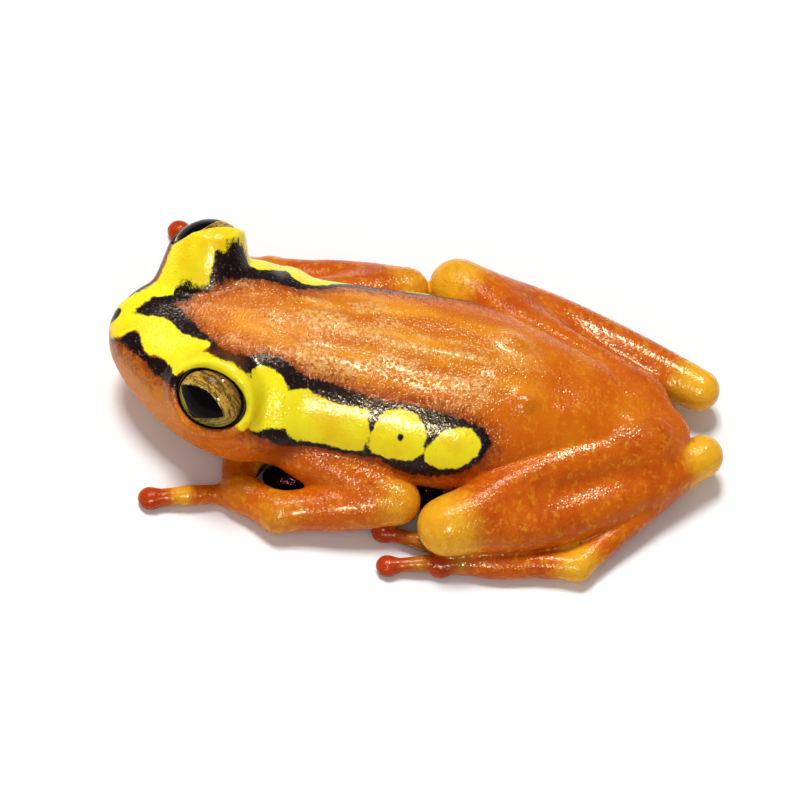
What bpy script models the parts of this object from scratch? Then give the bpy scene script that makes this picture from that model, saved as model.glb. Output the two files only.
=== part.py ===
"""Red-yellow reed frog, a still life-size model at rest.

Sizes are millimetres until a mesh is made, which is in metres, +Z up.
The snout points to -Y and the frog's left side is +X.
Stations along the body are measured from the tip of the snout.
"""
import math

import bmesh
import bpy
import numpy as np
from mathutils import Matrix, Vector

MM = 0.001

# Whole animal
SNOUT_Y = -15.317
SHIFT_X = 0.11
SIDE_SLOPE = 0.024
SLOPE_PIVOT = 11.0
GAP = 0.3
NECK_STATION = 8.7
FLOOR_Z = 0.0

# Eyes
EYE_RADII = (1.8, 1.55, 1.55)
EYE_LEFT = (3.82, 5.38, 5.6)
EYE_RIGHT = (-4.15, 4.3, 5.8)
EYE_TURN_FORWARD = 22.0
EYE_TURN_UP = 38.0
EYE_GAP = 0.2
LID_THICKNESS = 0.25
LID_OPENING_ANGLES = (62.0, 55.0)
LID_STRETCH_LEFT = 1.05
LID_STRETCH_RIGHT = 0.92
LID_BLEND = 0.35
DOME_SKIRT = 1.3
HEAD_AXIS_HEIGHT = 3.3

# Mouth and nostrils
MOUTH_CORNER_STATION = 7.3
MOUTH_DEPTH = 0.2
MOUTH_HALF_WIDTH = 0.2
LIP_SWELL = 0.09
NOSTRIL_RADIUS = 0.2
NOSTRIL_STATION = 0.8
NOSTRIL_ANGLE = 38.0

# Body profile: station, half width, top, bottom, height of the widest line
BODY_PROFILE = (
    (0.0, 0.35, 4.40, 3.65, 4.05),
    (0.35, 1.12, 4.98, 2.75, 4.00),
    (0.9, 1.90, 5.36, 2.05, 3.80),
    (1.7, 2.75, 5.64, 1.55, 3.50),
    (2.8, 3.65, 5.86, 1.15, 3.25),
    (4.0, 4.42, 6.10, 0.95, 3.00),
    (5.3, 4.95, 6.35, 0.85, 2.80),
    (6.8, 5.25, 6.52, 0.80, 2.60),
    (8.0, 5.20, 6.58, 0.70, 2.70),
    (10.0, 4.85, 6.55, 0.35, 2.75),
    (12.5, 4.85, 6.50, 0.00, 2.80),
    (15.0, 5.00, 6.45, -0.10, 2.80),
    (17.0, 5.00, 6.40, -0.10, 2.80),
    (19.0, 4.60, 6.15, 0.00, 3.00),
    (21.0, 3.90, 5.75, 0.30, 3.20),
    (23.0, 3.20, 5.20, 0.70, 3.15),
    (25.0, 2.50, 4.55, 1.15, 3.00),
    (27.0, 1.70, 3.80, 1.50, 2.80),
    (28.2, 1.00, 3.30, 1.85, 2.65),
    (28.8, 0.30, 2.85, 2.35, 2.60),
)

# Arms: joint centres as side, distance behind the snout, height
ARM_LEFT = {
    "shoulder": (3.9, 9.0, 2.5),
    "elbow": (5.9, 14.8, 1.75),
    "wrist": (6.95, 9.2, 1.05),
    "palm": (6.0, 7.35, 0.8),
}
ARM_RIGHT = {
    "shoulder": (-3.9, 8.8, 2.5),
    "elbow": (-6.3, 14.4, 1.75),
    "wrist": (-6.55, 7.6, 1.0),
    "palm": (-6.6, 6.4, 0.7),
}
UPPER_ARM_RADII = (1.1, 1.3, 1.28, 1.08)
FOREARM_RADII = (1.05, 1.22, 1.18, 1.02, 0.98)
PALM_RADII = (0.98, 0.92, 0.82)

# Fingers: tip side and tip station from the inner one to the outer one
FINGERS_LEFT = ((3.2, 8.6), (2.9, 7.7), (3.1, 6.7), (6.72, 3.05))
FINGERS_RIGHT = ((-4.1, 7.0), (-4.5, 5.4), (-6.3, 3.9), (-8.95, 2.95))
FINGER_RADIUS = 0.44
FINGER_DISC_RADIUS = 0.56
HAND_PAD = (0.95, 1.05, 0.78)
HAND_FAN = -0.1

# Legs
LEG_LEFT = {
    "hip": (1.7, 26.6, 2.75),
    "knee": (7.1, 17.3, 2.05),
    "heel": (1.05, 29.6, 1.75),
    "ankle": (7.6, 23.9, 0.75),
    "sole": (7.9, 19.4, 0.62),
    "calf_bow": 1.2,
}
LEG_RIGHT = {
    "hip": (-1.4, 26.2, 2.55),
    "knee": (-6.7, 16.95, 2.05),
    "heel": (-2.8, 29.3, 1.7),
    "ankle": (-6.2, 23.6, 0.75),
    "sole": (-6.75, 19.6, 0.62),
    "calf_bow": 0.35,
}
THIGH_RADII = (1.2, 1.25, 1.28, 1.3)
SHANK_RADII = (1.3, 1.3, 1.14, 1.04)
TARSUS_RADII = (0.8, 0.76, 0.7, 0.68)
THIGH_BOW = (-0.6, 0.65)
CALF_DROP = -0.1
TARSUS_START = 0.16

# Toes: tip side and tip station from the inner one to the outer one
TOES_LEFT = ((5.9, 18.4), (6.0, 16.6), (6.9, 14.4), (8.75, 14.75), (8.45, 17.3))
TOES_RIGHT = ((-4.9, 18.6), (-4.8, 17.2), (-5.4, 16.0), (-6.5, 16.2), (-7.2, 17.6))
TOE_RADIUS = 0.36
TOE_DISC_RADIUS = 0.54
FOOT_PAD = (0.85, 2.4, 0.62)
FOOT_FAN = 0.75

SKIN_COLOUR = (0.62, 0.17, 0.03, 1.0)
EYE_COLOUR = (0.30, 0.20, 0.05, 1.0)


def material(name, colour, roughness):
    """One plain Principled material."""
    made = bpy.data.materials.new(name)
    made.use_nodes = True
    shader = made.node_tree.nodes["Principled BSDF"]
    shader.inputs["Base Color"].default_value = colour
    shader.inputs["Roughness"].default_value = roughness
    made.diffuse_color = colour
    return made


def drift(station):
    """Sideways offset of the head and trunk, which lie a little askew."""
    return SIDE_SLOPE * (station - SLOPE_PIVOT)


def place(point):
    """Side, station and height as a point of the model, in millimetres."""
    side, station, height = point
    return Vector((side + SHIFT_X, station + SNOUT_Y, height))


def smooth_curve(rows, at):
    """Cubic curve through rows of (position, values), with slopes limited so that it never overshoots."""
    rows = np.array(rows, dtype=float)
    x = rows[:, 0]
    y = rows[:, 1:]
    step = np.diff(x)[:, None]
    slope = np.diff(y, axis=0) / step
    tangent = np.zeros_like(y)
    tangent[0] = slope[0]
    tangent[-1] = slope[-1]
    left = slope[:-1]
    right = slope[1:]
    same = left * right > 0
    mean = np.where(same, 2 * left * right / np.where(same, left + right, 1.0), 0.0)
    tangent[1:-1] = mean
    at = np.clip(np.asarray(at, dtype=float), x[0], x[-1])
    k = np.clip(np.searchsorted(x, at, side="right") - 1, 0, len(x) - 2)
    h = step[k, 0][:, None]
    s = ((at - x[k]) / step[k, 0])[:, None]
    first = (2 * s**3 - 3 * s**2 + 1) * y[k] + (s**3 - 2 * s**2 + s) * h * tangent[k]
    second = (-2 * s**3 + 3 * s**2) * y[k + 1] + (s**3 - s**2) * h * tangent[k + 1]
    return first + second


def mesh_object(name, verts, faces):
    """Object in metres from points in millimetres, with its faces turned outward."""
    mesh = bpy.data.meshes.new(name)
    mesh.from_pydata((np.asarray(verts, dtype=float) * MM).tolist(), [], faces)
    bm = bmesh.new()
    bm.from_mesh(mesh)
    bmesh.ops.recalc_face_normals(bm, faces=bm.faces)
    bm.to_mesh(mesh)
    bm.free()
    thing = bpy.data.objects.new(name, mesh)
    bpy.context.collection.objects.link(thing)
    return thing


def skin_rings(name, rings):
    """Closed body from rings of equal count, each end closed by one face fan."""
    count, sides, _ = rings.shape
    verts = list(rings.reshape(-1, 3))
    faces = []
    for i in range(count - 1):
        for j in range(sides):
            k = (j + 1) % sides
            faces.append((i * sides + j, i * sides + k, (i + 1) * sides + k, (i + 1) * sides + j))
    for end, first in ((0, 0), (1, (count - 1) * sides)):
        centre = len(verts)
        verts.append(rings[-1 if end else 0].mean(axis=0))
        for j in range(sides):
            faces.append((first + j, first + (j + 1) % sides, centre))
    return mesh_object(name, verts, faces)


def mouth_height(station):
    """Height of the line of the mouth, which climbs a little to the snout and dips at its corner."""
    return 2.25 + 0.75 * np.exp(-station / 1.1) - 0.25 * np.clip(station / 7.0, 0, 1) ** 3


def body_section(station, row, grow, with_mouth):
    """One closed cross-section: a boxy upper half, a rounder lower half, and the mouth pressed in."""
    half_width, top, bottom, widest = row
    half_width = half_width + grow
    top = top + grow
    bottom = bottom - grow
    head = float(np.clip((9.5 - station) / 4.0, 0.0, 1.0))
    upper_power = 2.15 + 0.75 * head
    lower_power = 2.2 + 0.3 * head

    def at(angle):
        sine = np.sin(angle)
        cosine = np.abs(np.cos(angle))
        power = np.where(sine > 0, upper_power, lower_power)
        reach = (cosine**power + np.abs(sine) ** power) ** (-1.0 / power)
        height = np.where(sine > 0, top - widest, widest - bottom)
        return half_width * reach * cosine, widest + height * reach * sine

    if not with_mouth:
        angles = np.linspace(math.pi / 2, -math.pi / 2, 18)
        x, z = at(angles)
    else:
        fine = np.linspace(math.pi / 2, -math.pi / 2, 721)
        _, fine_z = at(fine)
        line = mouth_height(station)
        mark = float(np.interp(-line, -fine_z, fine))
        size = 0.5 * (half_width + 0.5 * (top - bottom))
        spread = min(MOUTH_HALF_WIDTH / max(size, 0.3), 0.2)
        mark = max(mark, -math.pi / 2 + 2.4 * spread + 0.06)
        upper = np.linspace(math.pi / 2, mark + 2.2 * spread, 17)
        lower = np.linspace(mark - 2.2 * spread, -math.pi / 2, 6)
        middle = mark + spread * np.array([1.15, 0.0, -1.15])
        angles = np.concatenate([upper, middle, lower])
        x, z = at(angles)
        fade = 1.0 / (1.0 + math.exp((station - MOUTH_CORNER_STATION) / 0.35))
        fade = fade * min(1.0, station / 0.9)
        press = np.zeros_like(x)
        press[17] = LIP_SWELL
        press[18] = -MOUTH_DEPTH
        press[19] = LIP_SWELL * 0.6
        x = x + press * fade * np.cos(angles)
        z = z + press * fade * np.sin(angles)
    right = np.stack([-x[-2:0:-1], z[-2:0:-1]], axis=1)
    left = np.stack([x, z], axis=1)
    ring = np.concatenate([left, right], axis=0)
    return lift_over_eyes(ring, station) if with_mouth else ring


def lift_over_eyes(ring, station):
    """Pushes a head section out from its axis to the two lid domes, with a soft blend."""
    axis = np.array([0.0, HEAD_AXIS_HEIGHT])
    offset = ring - axis
    reach = np.linalg.norm(offset, axis=1)
    way = offset / reach[:, None]
    dome = EYE_RADII[1] + EYE_GAP + LID_THICKNESS
    for (out, middle, height), stretch in ((EYE_LEFT, LID_STRETCH_LEFT), (EYE_RIGHT, LID_STRETCH_RIGHT)):
        eye_at = np.array([out, height]) - axis
        along = way @ eye_at
        aside = eye_at @ eye_at - along**2 + ((station - middle) / stretch) ** 2
        aside = aside / dome**2
        fall = np.sqrt(1.0 + 1.2 * aside) + DOME_SKIRT * np.clip(aside - 0.8, 0.0, None)
        far = along + dome * (2.0 - fall)
        gap = np.clip((reach - far) / LID_BLEND, -30.0, 30.0)
        reach = reach + LID_BLEND * (np.log1p(np.exp(-gap)))
    return axis + way * reach[:, None]


def head_surface(station, degrees, side):
    """Point on the side of the head at a station, by its angle above the widest line."""
    row = smooth_curve(BODY_PROFILE, [station])[0]
    angle = math.radians(degrees)
    power = 2.9
    reach = (math.cos(angle) ** power + math.sin(angle) ** power) ** (-1.0 / power)
    x = row[0] * reach * math.cos(angle)
    z = row[3] + (row[1] - row[3]) * reach * math.sin(angle)
    return place((side * x + drift(station), station, z))


def body_loft(name, first, last, count, grow=0.0, with_mouth=False):
    """Part of the body between two stations, as a closed body."""
    spread = np.linspace(0.0, 1.0, count)
    if first <= 0.0:
        spread = spread**1.6
    if last >= BODY_PROFILE[-1][0]:
        spread = 1.0 - (1.0 - spread) ** 1.3
    stations = first + (last - first) * spread
    rows = smooth_curve(BODY_PROFILE, stations)
    ends = {0.0: -grow, BODY_PROFILE[-1][0]: grow}
    rings = []
    for station, row in zip(stations, rows):
        section = body_section(station, row, grow, with_mouth)
        along = station + ends.get(round(float(station), 6), 0.0)
        ring = np.zeros((len(section), 3))
        ring[:, 0] = section[:, 0] + SHIFT_X + drift(station)
        ring[:, 1] = along + SNOUT_Y
        ring[:, 2] = section[:, 1]
        rings.append(ring)
    return skin_rings(name, np.array(rings))


def sweep(name, path, radii, sides=14, steps=12, bow=(0.0, 0.0), side=1.0, caps=(80, 55, 28)):
    """Round limb along a path, with rounded ends and radii that change smoothly.

    The bow pushes the middle of the path outward and upward by the two lengths given.
    """
    points = np.array([place(p) for p in path], dtype=float)
    gaps = np.linalg.norm(np.diff(points, axis=0), axis=1)
    travel = np.concatenate([[0.0], np.cumsum(gaps)])
    total = travel[-1]
    at = np.linspace(0.0, total, steps)
    centre = smooth_curve(np.column_stack([travel, points]), at)
    bulge = np.sin(math.pi * at / total)
    centre[:, 0] += side * bow[0] * bulge
    centre[:, 2] += bow[1] * bulge
    spots = np.linspace(0.0, total, len(radii))
    radius = smooth_curve(np.column_stack([spots, radii]), at)[:, 0]
    tangent = np.gradient(centre, axis=0)
    tangent /= np.linalg.norm(tangent, axis=1)[:, None]
    up = np.array([0.0, 0.0, 1.0])
    rings = []
    angles = np.linspace(0.0, 2 * math.pi, sides, endpoint=False)

    def ring(where, along, size):
        across = np.cross(along, up)
        across /= np.linalg.norm(across)
        lift = np.cross(across, along)
        return where + size * (np.cos(angles)[:, None] * across + np.sin(angles)[:, None] * lift)

    for turn in caps:
        back = radius[0] * math.sin(math.radians(turn))
        size = radius[0] * math.cos(math.radians(turn))
        rings.append(ring(centre[0] - back * tangent[0], tangent[0], size))
    for where, along, size in zip(centre, tangent, radius):
        rings.append(ring(where, along, size))
    for turn in reversed(caps):
        back = radius[-1] * math.sin(math.radians(turn))
        size = radius[-1] * math.cos(math.radians(turn))
        rings.append(ring(centre[-1] + back * tangent[-1], tangent[-1], size))
    return skin_rings(name, np.array(rings))


def ball(name, centre, radii, segments=16, rings=10):
    """Ball or ellipsoid about a point in model millimetres."""
    bm = bmesh.new()
    bmesh.ops.create_uvsphere(bm, u_segments=segments, v_segments=rings, radius=1.0)
    scale = Matrix.Diagonal((radii[0] * MM, radii[1] * MM, radii[2] * MM, 1.0))
    bmesh.ops.transform(bm, matrix=Matrix.Translation(Vector(centre) * MM) @ scale, verts=bm.verts)
    mesh = bpy.data.meshes.new(name)
    bm.to_mesh(mesh)
    bm.free()
    thing = bpy.data.objects.new(name, mesh)
    bpy.context.collection.objects.link(thing)
    return thing


def globe(name, side, grow, segments, rings):
    """Oval eyeball of one side in its own axes, larger all round by a length in millimetres."""
    bm = bmesh.new()
    bmesh.ops.create_uvsphere(bm, u_segments=segments, v_segments=rings, radius=1.0)
    sizes = [(radius + grow) * MM for radius in EYE_RADII]
    scale = Matrix.Diagonal((sizes[0], sizes[1], sizes[2], 1.0))
    spot = Matrix.Translation(eye_centre(side) * MM)
    bmesh.ops.transform(bm, matrix=spot @ eye_axes(side) @ scale, verts=bm.verts)
    mesh = bpy.data.meshes.new(name)
    bm.to_mesh(mesh)
    bm.free()
    thing = bpy.data.objects.new(name, mesh)
    bpy.context.collection.objects.link(thing)
    return thing


def funnel(name, side, length, sides=32):
    """Oval cone that opens from the middle of an eye, with half its two angles given for the lids."""
    bm = bmesh.new()
    bmesh.ops.create_cone(bm, cap_ends=True, segments=sides, radius1=0.0, radius2=1.0, depth=1.0)
    bmesh.ops.translate(bm, vec=(0.0, 0.0, 0.5), verts=bm.verts)
    wide = [length * math.tan(math.radians(angle)) * MM for angle in LID_OPENING_ANGLES]
    scale = Matrix.Diagonal((wide[0], wide[1], length * MM, 1.0))
    spot = Matrix.Translation(eye_centre(side) * MM)
    bmesh.ops.transform(bm, matrix=spot @ eye_axes(side) @ scale, verts=bm.verts)
    mesh = bpy.data.meshes.new(name)
    bm.to_mesh(mesh)
    bm.free()
    thing = bpy.data.objects.new(name, mesh)
    bpy.context.collection.objects.link(thing)
    return thing


def bake(thing):
    """Turns an object's modifiers into plain mesh."""
    depsgraph = bpy.context.evaluated_depsgraph_get()
    mesh = bpy.data.meshes.new_from_object(thing.evaluated_get(depsgraph))
    old = thing.data
    thing.modifiers.clear()
    thing.data = mesh
    bpy.data.meshes.remove(old)


def combine(thing, others, operation):
    """Joins others to a body or cuts them from it, then removes them."""
    pool = bpy.data.collections.new("pool")
    bpy.context.scene.collection.children.link(pool)
    for other in others:
        pool.objects.link(other)
    cut = thing.modifiers.new("shape", "BOOLEAN")
    cut.operation = operation
    cut.operand_type = "COLLECTION"
    cut.collection = pool
    cut.solver = "EXACT"
    bake(thing)
    for other in others:
        bpy.data.objects.remove(other)
    bpy.data.collections.remove(pool)


def copy_of(thing):
    """Plain copy of an object and its mesh."""
    twin = bpy.data.objects.new(thing.name + "_copy", thing.data.copy())
    bpy.context.collection.objects.link(twin)
    return twin


def keep_side(thing, point, normal):
    """Cuts a body by a plane and keeps the side that the normal points to, closed again."""
    bm = bmesh.new()
    bm.from_mesh(thing.data)
    bmesh.ops.bisect_plane(
        bm,
        geom=bm.verts[:] + bm.edges[:] + bm.faces[:],
        dist=1e-8,
        plane_co=Vector(point) * MM,
        plane_no=Vector(normal),
        clear_inner=True,
    )
    rim = [edge for edge in bm.edges if edge.is_boundary]
    bmesh.ops.holes_fill(bm, edges=rim, sides=0)
    bm.to_mesh(thing.data)
    bm.free()


def tidy(thing):
    """Keeps the largest closed surface, merges stray points and makes triangles."""
    bm = bmesh.new()
    bm.from_mesh(thing.data)
    bmesh.ops.remove_doubles(bm, verts=bm.verts, dist=0.000001)
    bmesh.ops.dissolve_degenerate(bm, edges=bm.edges, dist=0.0000005)
    bmesh.ops.triangulate(bm, faces=bm.faces)
    bm.faces.ensure_lookup_table()
    unseen = set(bm.faces)
    pieces = []
    while unseen:
        front = [unseen.pop()]
        piece = list(front)
        while front:
            face = front.pop()
            for edge in face.edges:
                for other in edge.link_faces:
                    if other in unseen:
                        unseen.remove(other)
                        front.append(other)
                        piece.append(other)
        pieces.append(piece)
    pieces.sort(key=len)
    spare = [face for piece in pieces[:-1] for face in piece]
    if spare:
        bmesh.ops.delete(bm, geom=spare, context="FACES")
    bmesh.ops.recalc_face_normals(bm, faces=bm.faces)
    for face in bm.faces:
        face.smooth = True
    bm.to_mesh(thing.data)
    bm.free()


def finish(thing, name, slot):
    """Names a node and gives it its material."""
    tidy(thing)
    thing.name = name
    thing.data.name = name
    thing.data.materials.clear()
    thing.data.materials.append(slot)
    return thing


def eye_centre(side):
    """Middle of an eyeball."""
    out, station, height = EYE_LEFT if side > 0 else EYE_RIGHT
    return place((out + drift(station), station, height))


def eye_axes(side):
    """Axes of an eye: its long axis, its short axis, and the way that it looks."""
    forward = math.radians(EYE_TURN_FORWARD)
    upward = math.radians(EYE_TURN_UP)
    look = Vector((
        side * math.cos(forward) * math.cos(upward),
        -math.sin(forward) * math.cos(upward),
        math.sin(upward),
    ))
    along = Vector((math.sin(forward), side * math.cos(forward), 0.0))
    across = look.cross(along)
    return Matrix((along, across, look)).transposed().to_4x4()


def part_plane(centre, one, two):
    """Plane through a joint that halves the angle between two limb segments."""
    centre = place(centre)
    first = (place(one) - centre).normalized()
    second = (place(two) - centre).normalized()
    return centre, (first - second).normalized()


def fold_plane(joint, one, two):
    """Plane through a joint that runs midway between the middles of two limb segments folded together."""
    joint = place(joint)
    along = (0.5 * (one + two) - joint).normalized()
    across = one - two
    across -= across.dot(along) * along
    return joint, across.normalized()


def middle_of(one, two, bow, side):
    """Middle of a limb segment that bows outward and upward."""
    return 0.5 * (place(one) + place(two)) + Vector((side * bow[0], 0.0, bow[1]))


def butt_plane(centre, one, two):
    """Plane across a joint, square to the way the limb runs through it."""
    centre = place(centre)
    before = (centre - place(one)).normalized()
    after = (place(two) - centre).normalized()
    return centre, (before + after).normalized()


def digits(name, base, tips, radius, disc, spread, fan):
    """Fused palm or sole with one tapered digit and round disc for each tip."""
    root = place(base)
    pad = ball(name, (root.x, root.y, root.z), (spread[0], spread[1], spread[2]), 14, 8)
    pieces = []
    for number, tip in enumerate(tips):
        side, station = tip
        share = number / (len(tips) - 1) - 0.5
        start_side = base[0] + fan * share * math.copysign(1.0, base[0])
        start_station = base[1] - 0.45 * spread[1]
        middle = (
            0.5 * (start_side + side) + 0.06 * (side - base[0]),
            0.5 * (start_station + station),
            0.62,
        )
        path = ((start_side, start_station, 0.55), middle, (side, station, 0.36))
        radii = (radius * 1.15, radius * 1.08, radius * 0.96)
        pieces.append(sweep(name + "_digit", path, radii, sides=8, steps=6, caps=(60,)))
        end = place((side, station, 0.40))
        shape = (disc, disc * 1.05, disc * 0.8)
        pieces.append(ball(name + "_disc", (end.x, end.y, end.z), shape, 10, 6))
    combine(pad, pieces, "UNION")
    return pad


for leftover in list(bpy.data.objects):
    bpy.data.objects.remove(leftover)

skin = material("skin", SKIN_COLOUR, 0.35)
eye = material("eye", EYE_COLOUR, 0.1)

# Head, with sockets, lids, mouth line and nostrils
head = body_loft("head", 0.0, NECK_STATION - GAP / 2, 38, with_mouth=True)
sockets = []
for side in (1.0, -1.0):
    sockets.append(globe("socket", side, EYE_GAP, 24, 16))
    sockets.append(funnel("opening", side, 4.0))
    pit = head_surface(NOSTRIL_STATION, NOSTRIL_ANGLE, side)
    sockets.append(ball("nostril", pit, (NOSTRIL_RADIUS, NOSTRIL_RADIUS * 1.2, NOSTRIL_RADIUS), 10, 8))
combine(head, sockets, "DIFFERENCE")
finish(head, "head", skin)

for side, name in ((1.0, "eye_left"), (-1.0, "eye_right")):
    finish(globe(name, side, 0.0, 20, 12), name, eye)

# Torso, resting on a small flat of the belly
torso = body_loft("torso", NECK_STATION + GAP / 2, BODY_PROFILE[-1][0], 24)
keep_side(torso, (0.0, 0.0, FLOOR_Z), (0.0, 0.0, 1.0))
finish(torso, "torso", skin)

# Envelope of the body that the limbs are cut clear of
envelope = body_loft("envelope", 0.0, BODY_PROFILE[-1][0], 46, grow=GAP)

for label, side, arm, fingers in (
    ("left", 1.0, ARM_LEFT, FINGERS_LEFT),
    ("right", -1.0, ARM_RIGHT, FINGERS_RIGHT),
):
    upper = sweep("upper", (arm["shoulder"], arm["elbow"]), UPPER_ARM_RADII)
    lower = sweep("lower", (arm["elbow"], arm["wrist"]), FOREARM_RADII)
    centre, normal = part_plane(arm["elbow"], arm["shoulder"], arm["wrist"])
    keep_side(upper, centre + normal * GAP / 2, normal)
    keep_side(lower, centre - normal * GAP / 2, -normal)
    combine(upper, [copy_of(envelope)], "DIFFERENCE")
    combine(lower, [copy_of(envelope)], "DIFFERENCE")
    centre, normal = butt_plane(arm["wrist"], arm["elbow"], arm["palm"])
    keep_side(lower, centre - normal * GAP / 2, -normal)
    hand = digits("hand", arm["palm"], fingers, FINGER_RADIUS, FINGER_DISC_RADIUS, HAND_PAD, HAND_FAN)
    combine(hand, [sweep("bridge", (arm["wrist"], arm["palm"]), PALM_RADII, 12, 8)], "UNION")
    keep_side(hand, centre + normal * GAP / 2, normal)
    combine(hand, [copy_of(envelope)], "DIFFERENCE")
    for thing in (upper, lower, hand):
        keep_side(thing, (0.0, 0.0, FLOOR_Z), (0.0, 0.0, 1.0))
    finish(upper, "upper_arm_" + label, skin)
    finish(lower, "forearm_" + label, skin)
    finish(hand, "hand_" + label, skin)

for label, side, leg, toes in (
    ("left", 1.0, LEG_LEFT, TOES_LEFT),
    ("right", -1.0, LEG_RIGHT, TOES_RIGHT),
):
    thigh = sweep("thigh", (leg["hip"], leg["knee"]), THIGH_RADII, 14, 12, THIGH_BOW, side)
    bow = (leg["calf_bow"], CALF_DROP)
    shank = sweep("shank", (leg["knee"], leg["heel"]), SHANK_RADII, 14, 14, bow, side)
    start = tuple(a + TARSUS_START * (b - a) for a, b in zip(leg["heel"], leg["ankle"]))
    tarsus = sweep("tarsus", (start, leg["ankle"]), TARSUS_RADII)
    thigh_middle = middle_of(leg["hip"], leg["knee"], THIGH_BOW, side)
    shank_middle = middle_of(leg["knee"], leg["heel"], bow, side)
    centre, normal = fold_plane(leg["knee"], thigh_middle, shank_middle)
    keep_side(thigh, centre + normal * GAP / 2, normal)
    keep_side(shank, centre - normal * GAP / 2, -normal)
    centre, normal = butt_plane(leg["ankle"], leg["heel"], leg["sole"])
    keep_side(tarsus, centre - normal * GAP / 2, -normal)
    foot = digits("foot", leg["sole"], toes, TOE_RADIUS, TOE_DISC_RADIUS, FOOT_PAD, FOOT_FAN)
    bridge = sweep("bridge", (leg["ankle"], leg["sole"]), (0.68, 0.66, 0.6), 12, 8)
    combine(foot, [bridge], "UNION")
    wider = tuple(radius + GAP for radius in SHANK_RADII)
    calf = sweep("calf", (leg["knee"], leg["heel"]), wider, 14, 14, bow, side)
    combine(foot, [copy_of(calf)], "DIFFERENCE")
    combine(tarsus, [calf], "DIFFERENCE")
    keep_side(foot, centre + normal * GAP / 2, normal)
    for thing in (thigh, shank, tarsus, foot):
        combine(thing, [copy_of(envelope)], "DIFFERENCE")
        keep_side(thing, (0.0, 0.0, FLOOR_Z), (0.0, 0.0, 1.0))
    finish(thigh, "thigh_" + label, skin)
    finish(shank, "shank_" + label, skin)
    finish(tarsus, "tarsus_" + label, skin)
    finish(foot, "foot_" + label, skin)

bpy.data.objects.remove(envelope)
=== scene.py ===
import math

import bpy
import numpy as np
from mathutils import Matrix, Vector


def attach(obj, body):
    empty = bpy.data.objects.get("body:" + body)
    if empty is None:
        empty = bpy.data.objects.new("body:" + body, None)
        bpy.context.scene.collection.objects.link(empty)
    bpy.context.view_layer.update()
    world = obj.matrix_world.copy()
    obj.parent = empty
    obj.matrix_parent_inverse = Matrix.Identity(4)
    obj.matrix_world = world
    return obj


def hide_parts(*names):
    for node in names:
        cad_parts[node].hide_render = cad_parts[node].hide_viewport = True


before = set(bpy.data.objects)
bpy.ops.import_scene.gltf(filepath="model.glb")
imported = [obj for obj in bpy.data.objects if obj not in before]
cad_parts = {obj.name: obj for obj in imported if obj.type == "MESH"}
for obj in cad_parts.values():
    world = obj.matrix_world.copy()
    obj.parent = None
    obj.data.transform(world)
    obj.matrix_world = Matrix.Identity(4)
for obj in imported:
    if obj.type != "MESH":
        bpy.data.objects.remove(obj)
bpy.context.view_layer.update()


# Camera
# It looks down on the left side of the frog from about 220 mm, a little rolled.
CAMERA_AZIMUTH = 81.8
CAMERA_ELEVATION = 57.0
CAMERA_ROLL = 14.5
CAMERA_DISTANCE = 0.220
CAMERA_FRAME = 0.0387
CAMERA_TARGET = (0.001360, -0.000917, 0.0035)
CAMERA_SENSOR = 36.0


def camera_turn(azimuth, elevation, roll):
    """Camera axes: azimuth 0 looks along +Y from the front, elevation lifts it, roll turns the picture."""
    a, e, r = (math.radians(v) for v in (azimuth, elevation, roll))
    back = Vector((math.sin(a) * math.cos(e), -math.cos(a) * math.cos(e), math.sin(e)))
    right = Vector((math.cos(a), math.sin(a), 0.0))
    up = back.cross(right)
    turned_right = right * math.cos(r) + up * math.sin(r)
    turned_up = up * math.cos(r) - right * math.sin(r)
    return Matrix((turned_right, turned_up, back)).transposed(), back


camera_axes, camera_back = camera_turn(CAMERA_AZIMUTH, CAMERA_ELEVATION, CAMERA_ROLL)
camera_data = bpy.data.cameras.new("camera")
camera_data.sensor_width = CAMERA_SENSOR
camera_data.lens = CAMERA_SENSOR * CAMERA_DISTANCE / CAMERA_FRAME
camera_data.clip_start = 0.01
camera_data.clip_end = 20.0
camera = bpy.data.objects.new("camera", camera_data)
bpy.context.scene.collection.objects.link(camera)
camera_place = Vector(CAMERA_TARGET) + camera_back * CAMERA_DISTANCE
camera.matrix_world = Matrix.Translation(camera_place) @ camera_axes.to_4x4()
bpy.context.scene.camera = camera


# Floor and light
# A plain white floor, a broad lamp high behind the frog's right shoulder that lays a soft shadow
# towards the viewer, two small lamps that draw the sparks on the wet skin, and a dim room.
FLOOR_HALF = 2.0
FLOOR_COLOUR = (0.93, 0.93, 0.93, 1.0)
FLOOR_ROUGHNESS = 0.9
KEY_WAY = (-0.30, -0.20, 0.93)
KEY_SPREAD = 18.0
KEY_STRENGTH = 2.6
SPARKS = (
    # way from the frog and power in watts
    ((0.68, 0.03, 0.73), 1.1),
    ((-0.42, 0.20, 0.88), 1.6),
)
SPARK_DISTANCE = 0.30
SPARK_SIZE = 0.02
SPARK_COLOUR = (1.0, 0.93, 0.78)
FILL_WAY = (0.75, -0.25, 0.62)
FILL_SPREAD = 70.0
FILL_STRENGTH = 0.62
ROOM_LIGHT = 0.25

floor_mesh = bpy.data.meshes.new("floor")
floor_corners = [(x * FLOOR_HALF, y * FLOOR_HALF, 0.0) for x, y in ((-1, -1), (1, -1), (1, 1), (-1, 1))]
floor_mesh.from_pydata(floor_corners, [], [(0, 1, 2, 3)])
floor = bpy.data.objects.new("floor", floor_mesh)
bpy.context.scene.collection.objects.link(floor)
floor_paint = bpy.data.materials.new("floor_paint")
floor_paint.use_nodes = True
floor_shader = floor_paint.node_tree.nodes["Principled BSDF"]
floor_shader.inputs["Base Color"].default_value = FLOOR_COLOUR
floor_shader.inputs["Roughness"].default_value = FLOOR_ROUGHNESS
floor_shader.inputs["Specular IOR Level"].default_value = 0.0
floor_mesh.materials.append(floor_paint)


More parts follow.
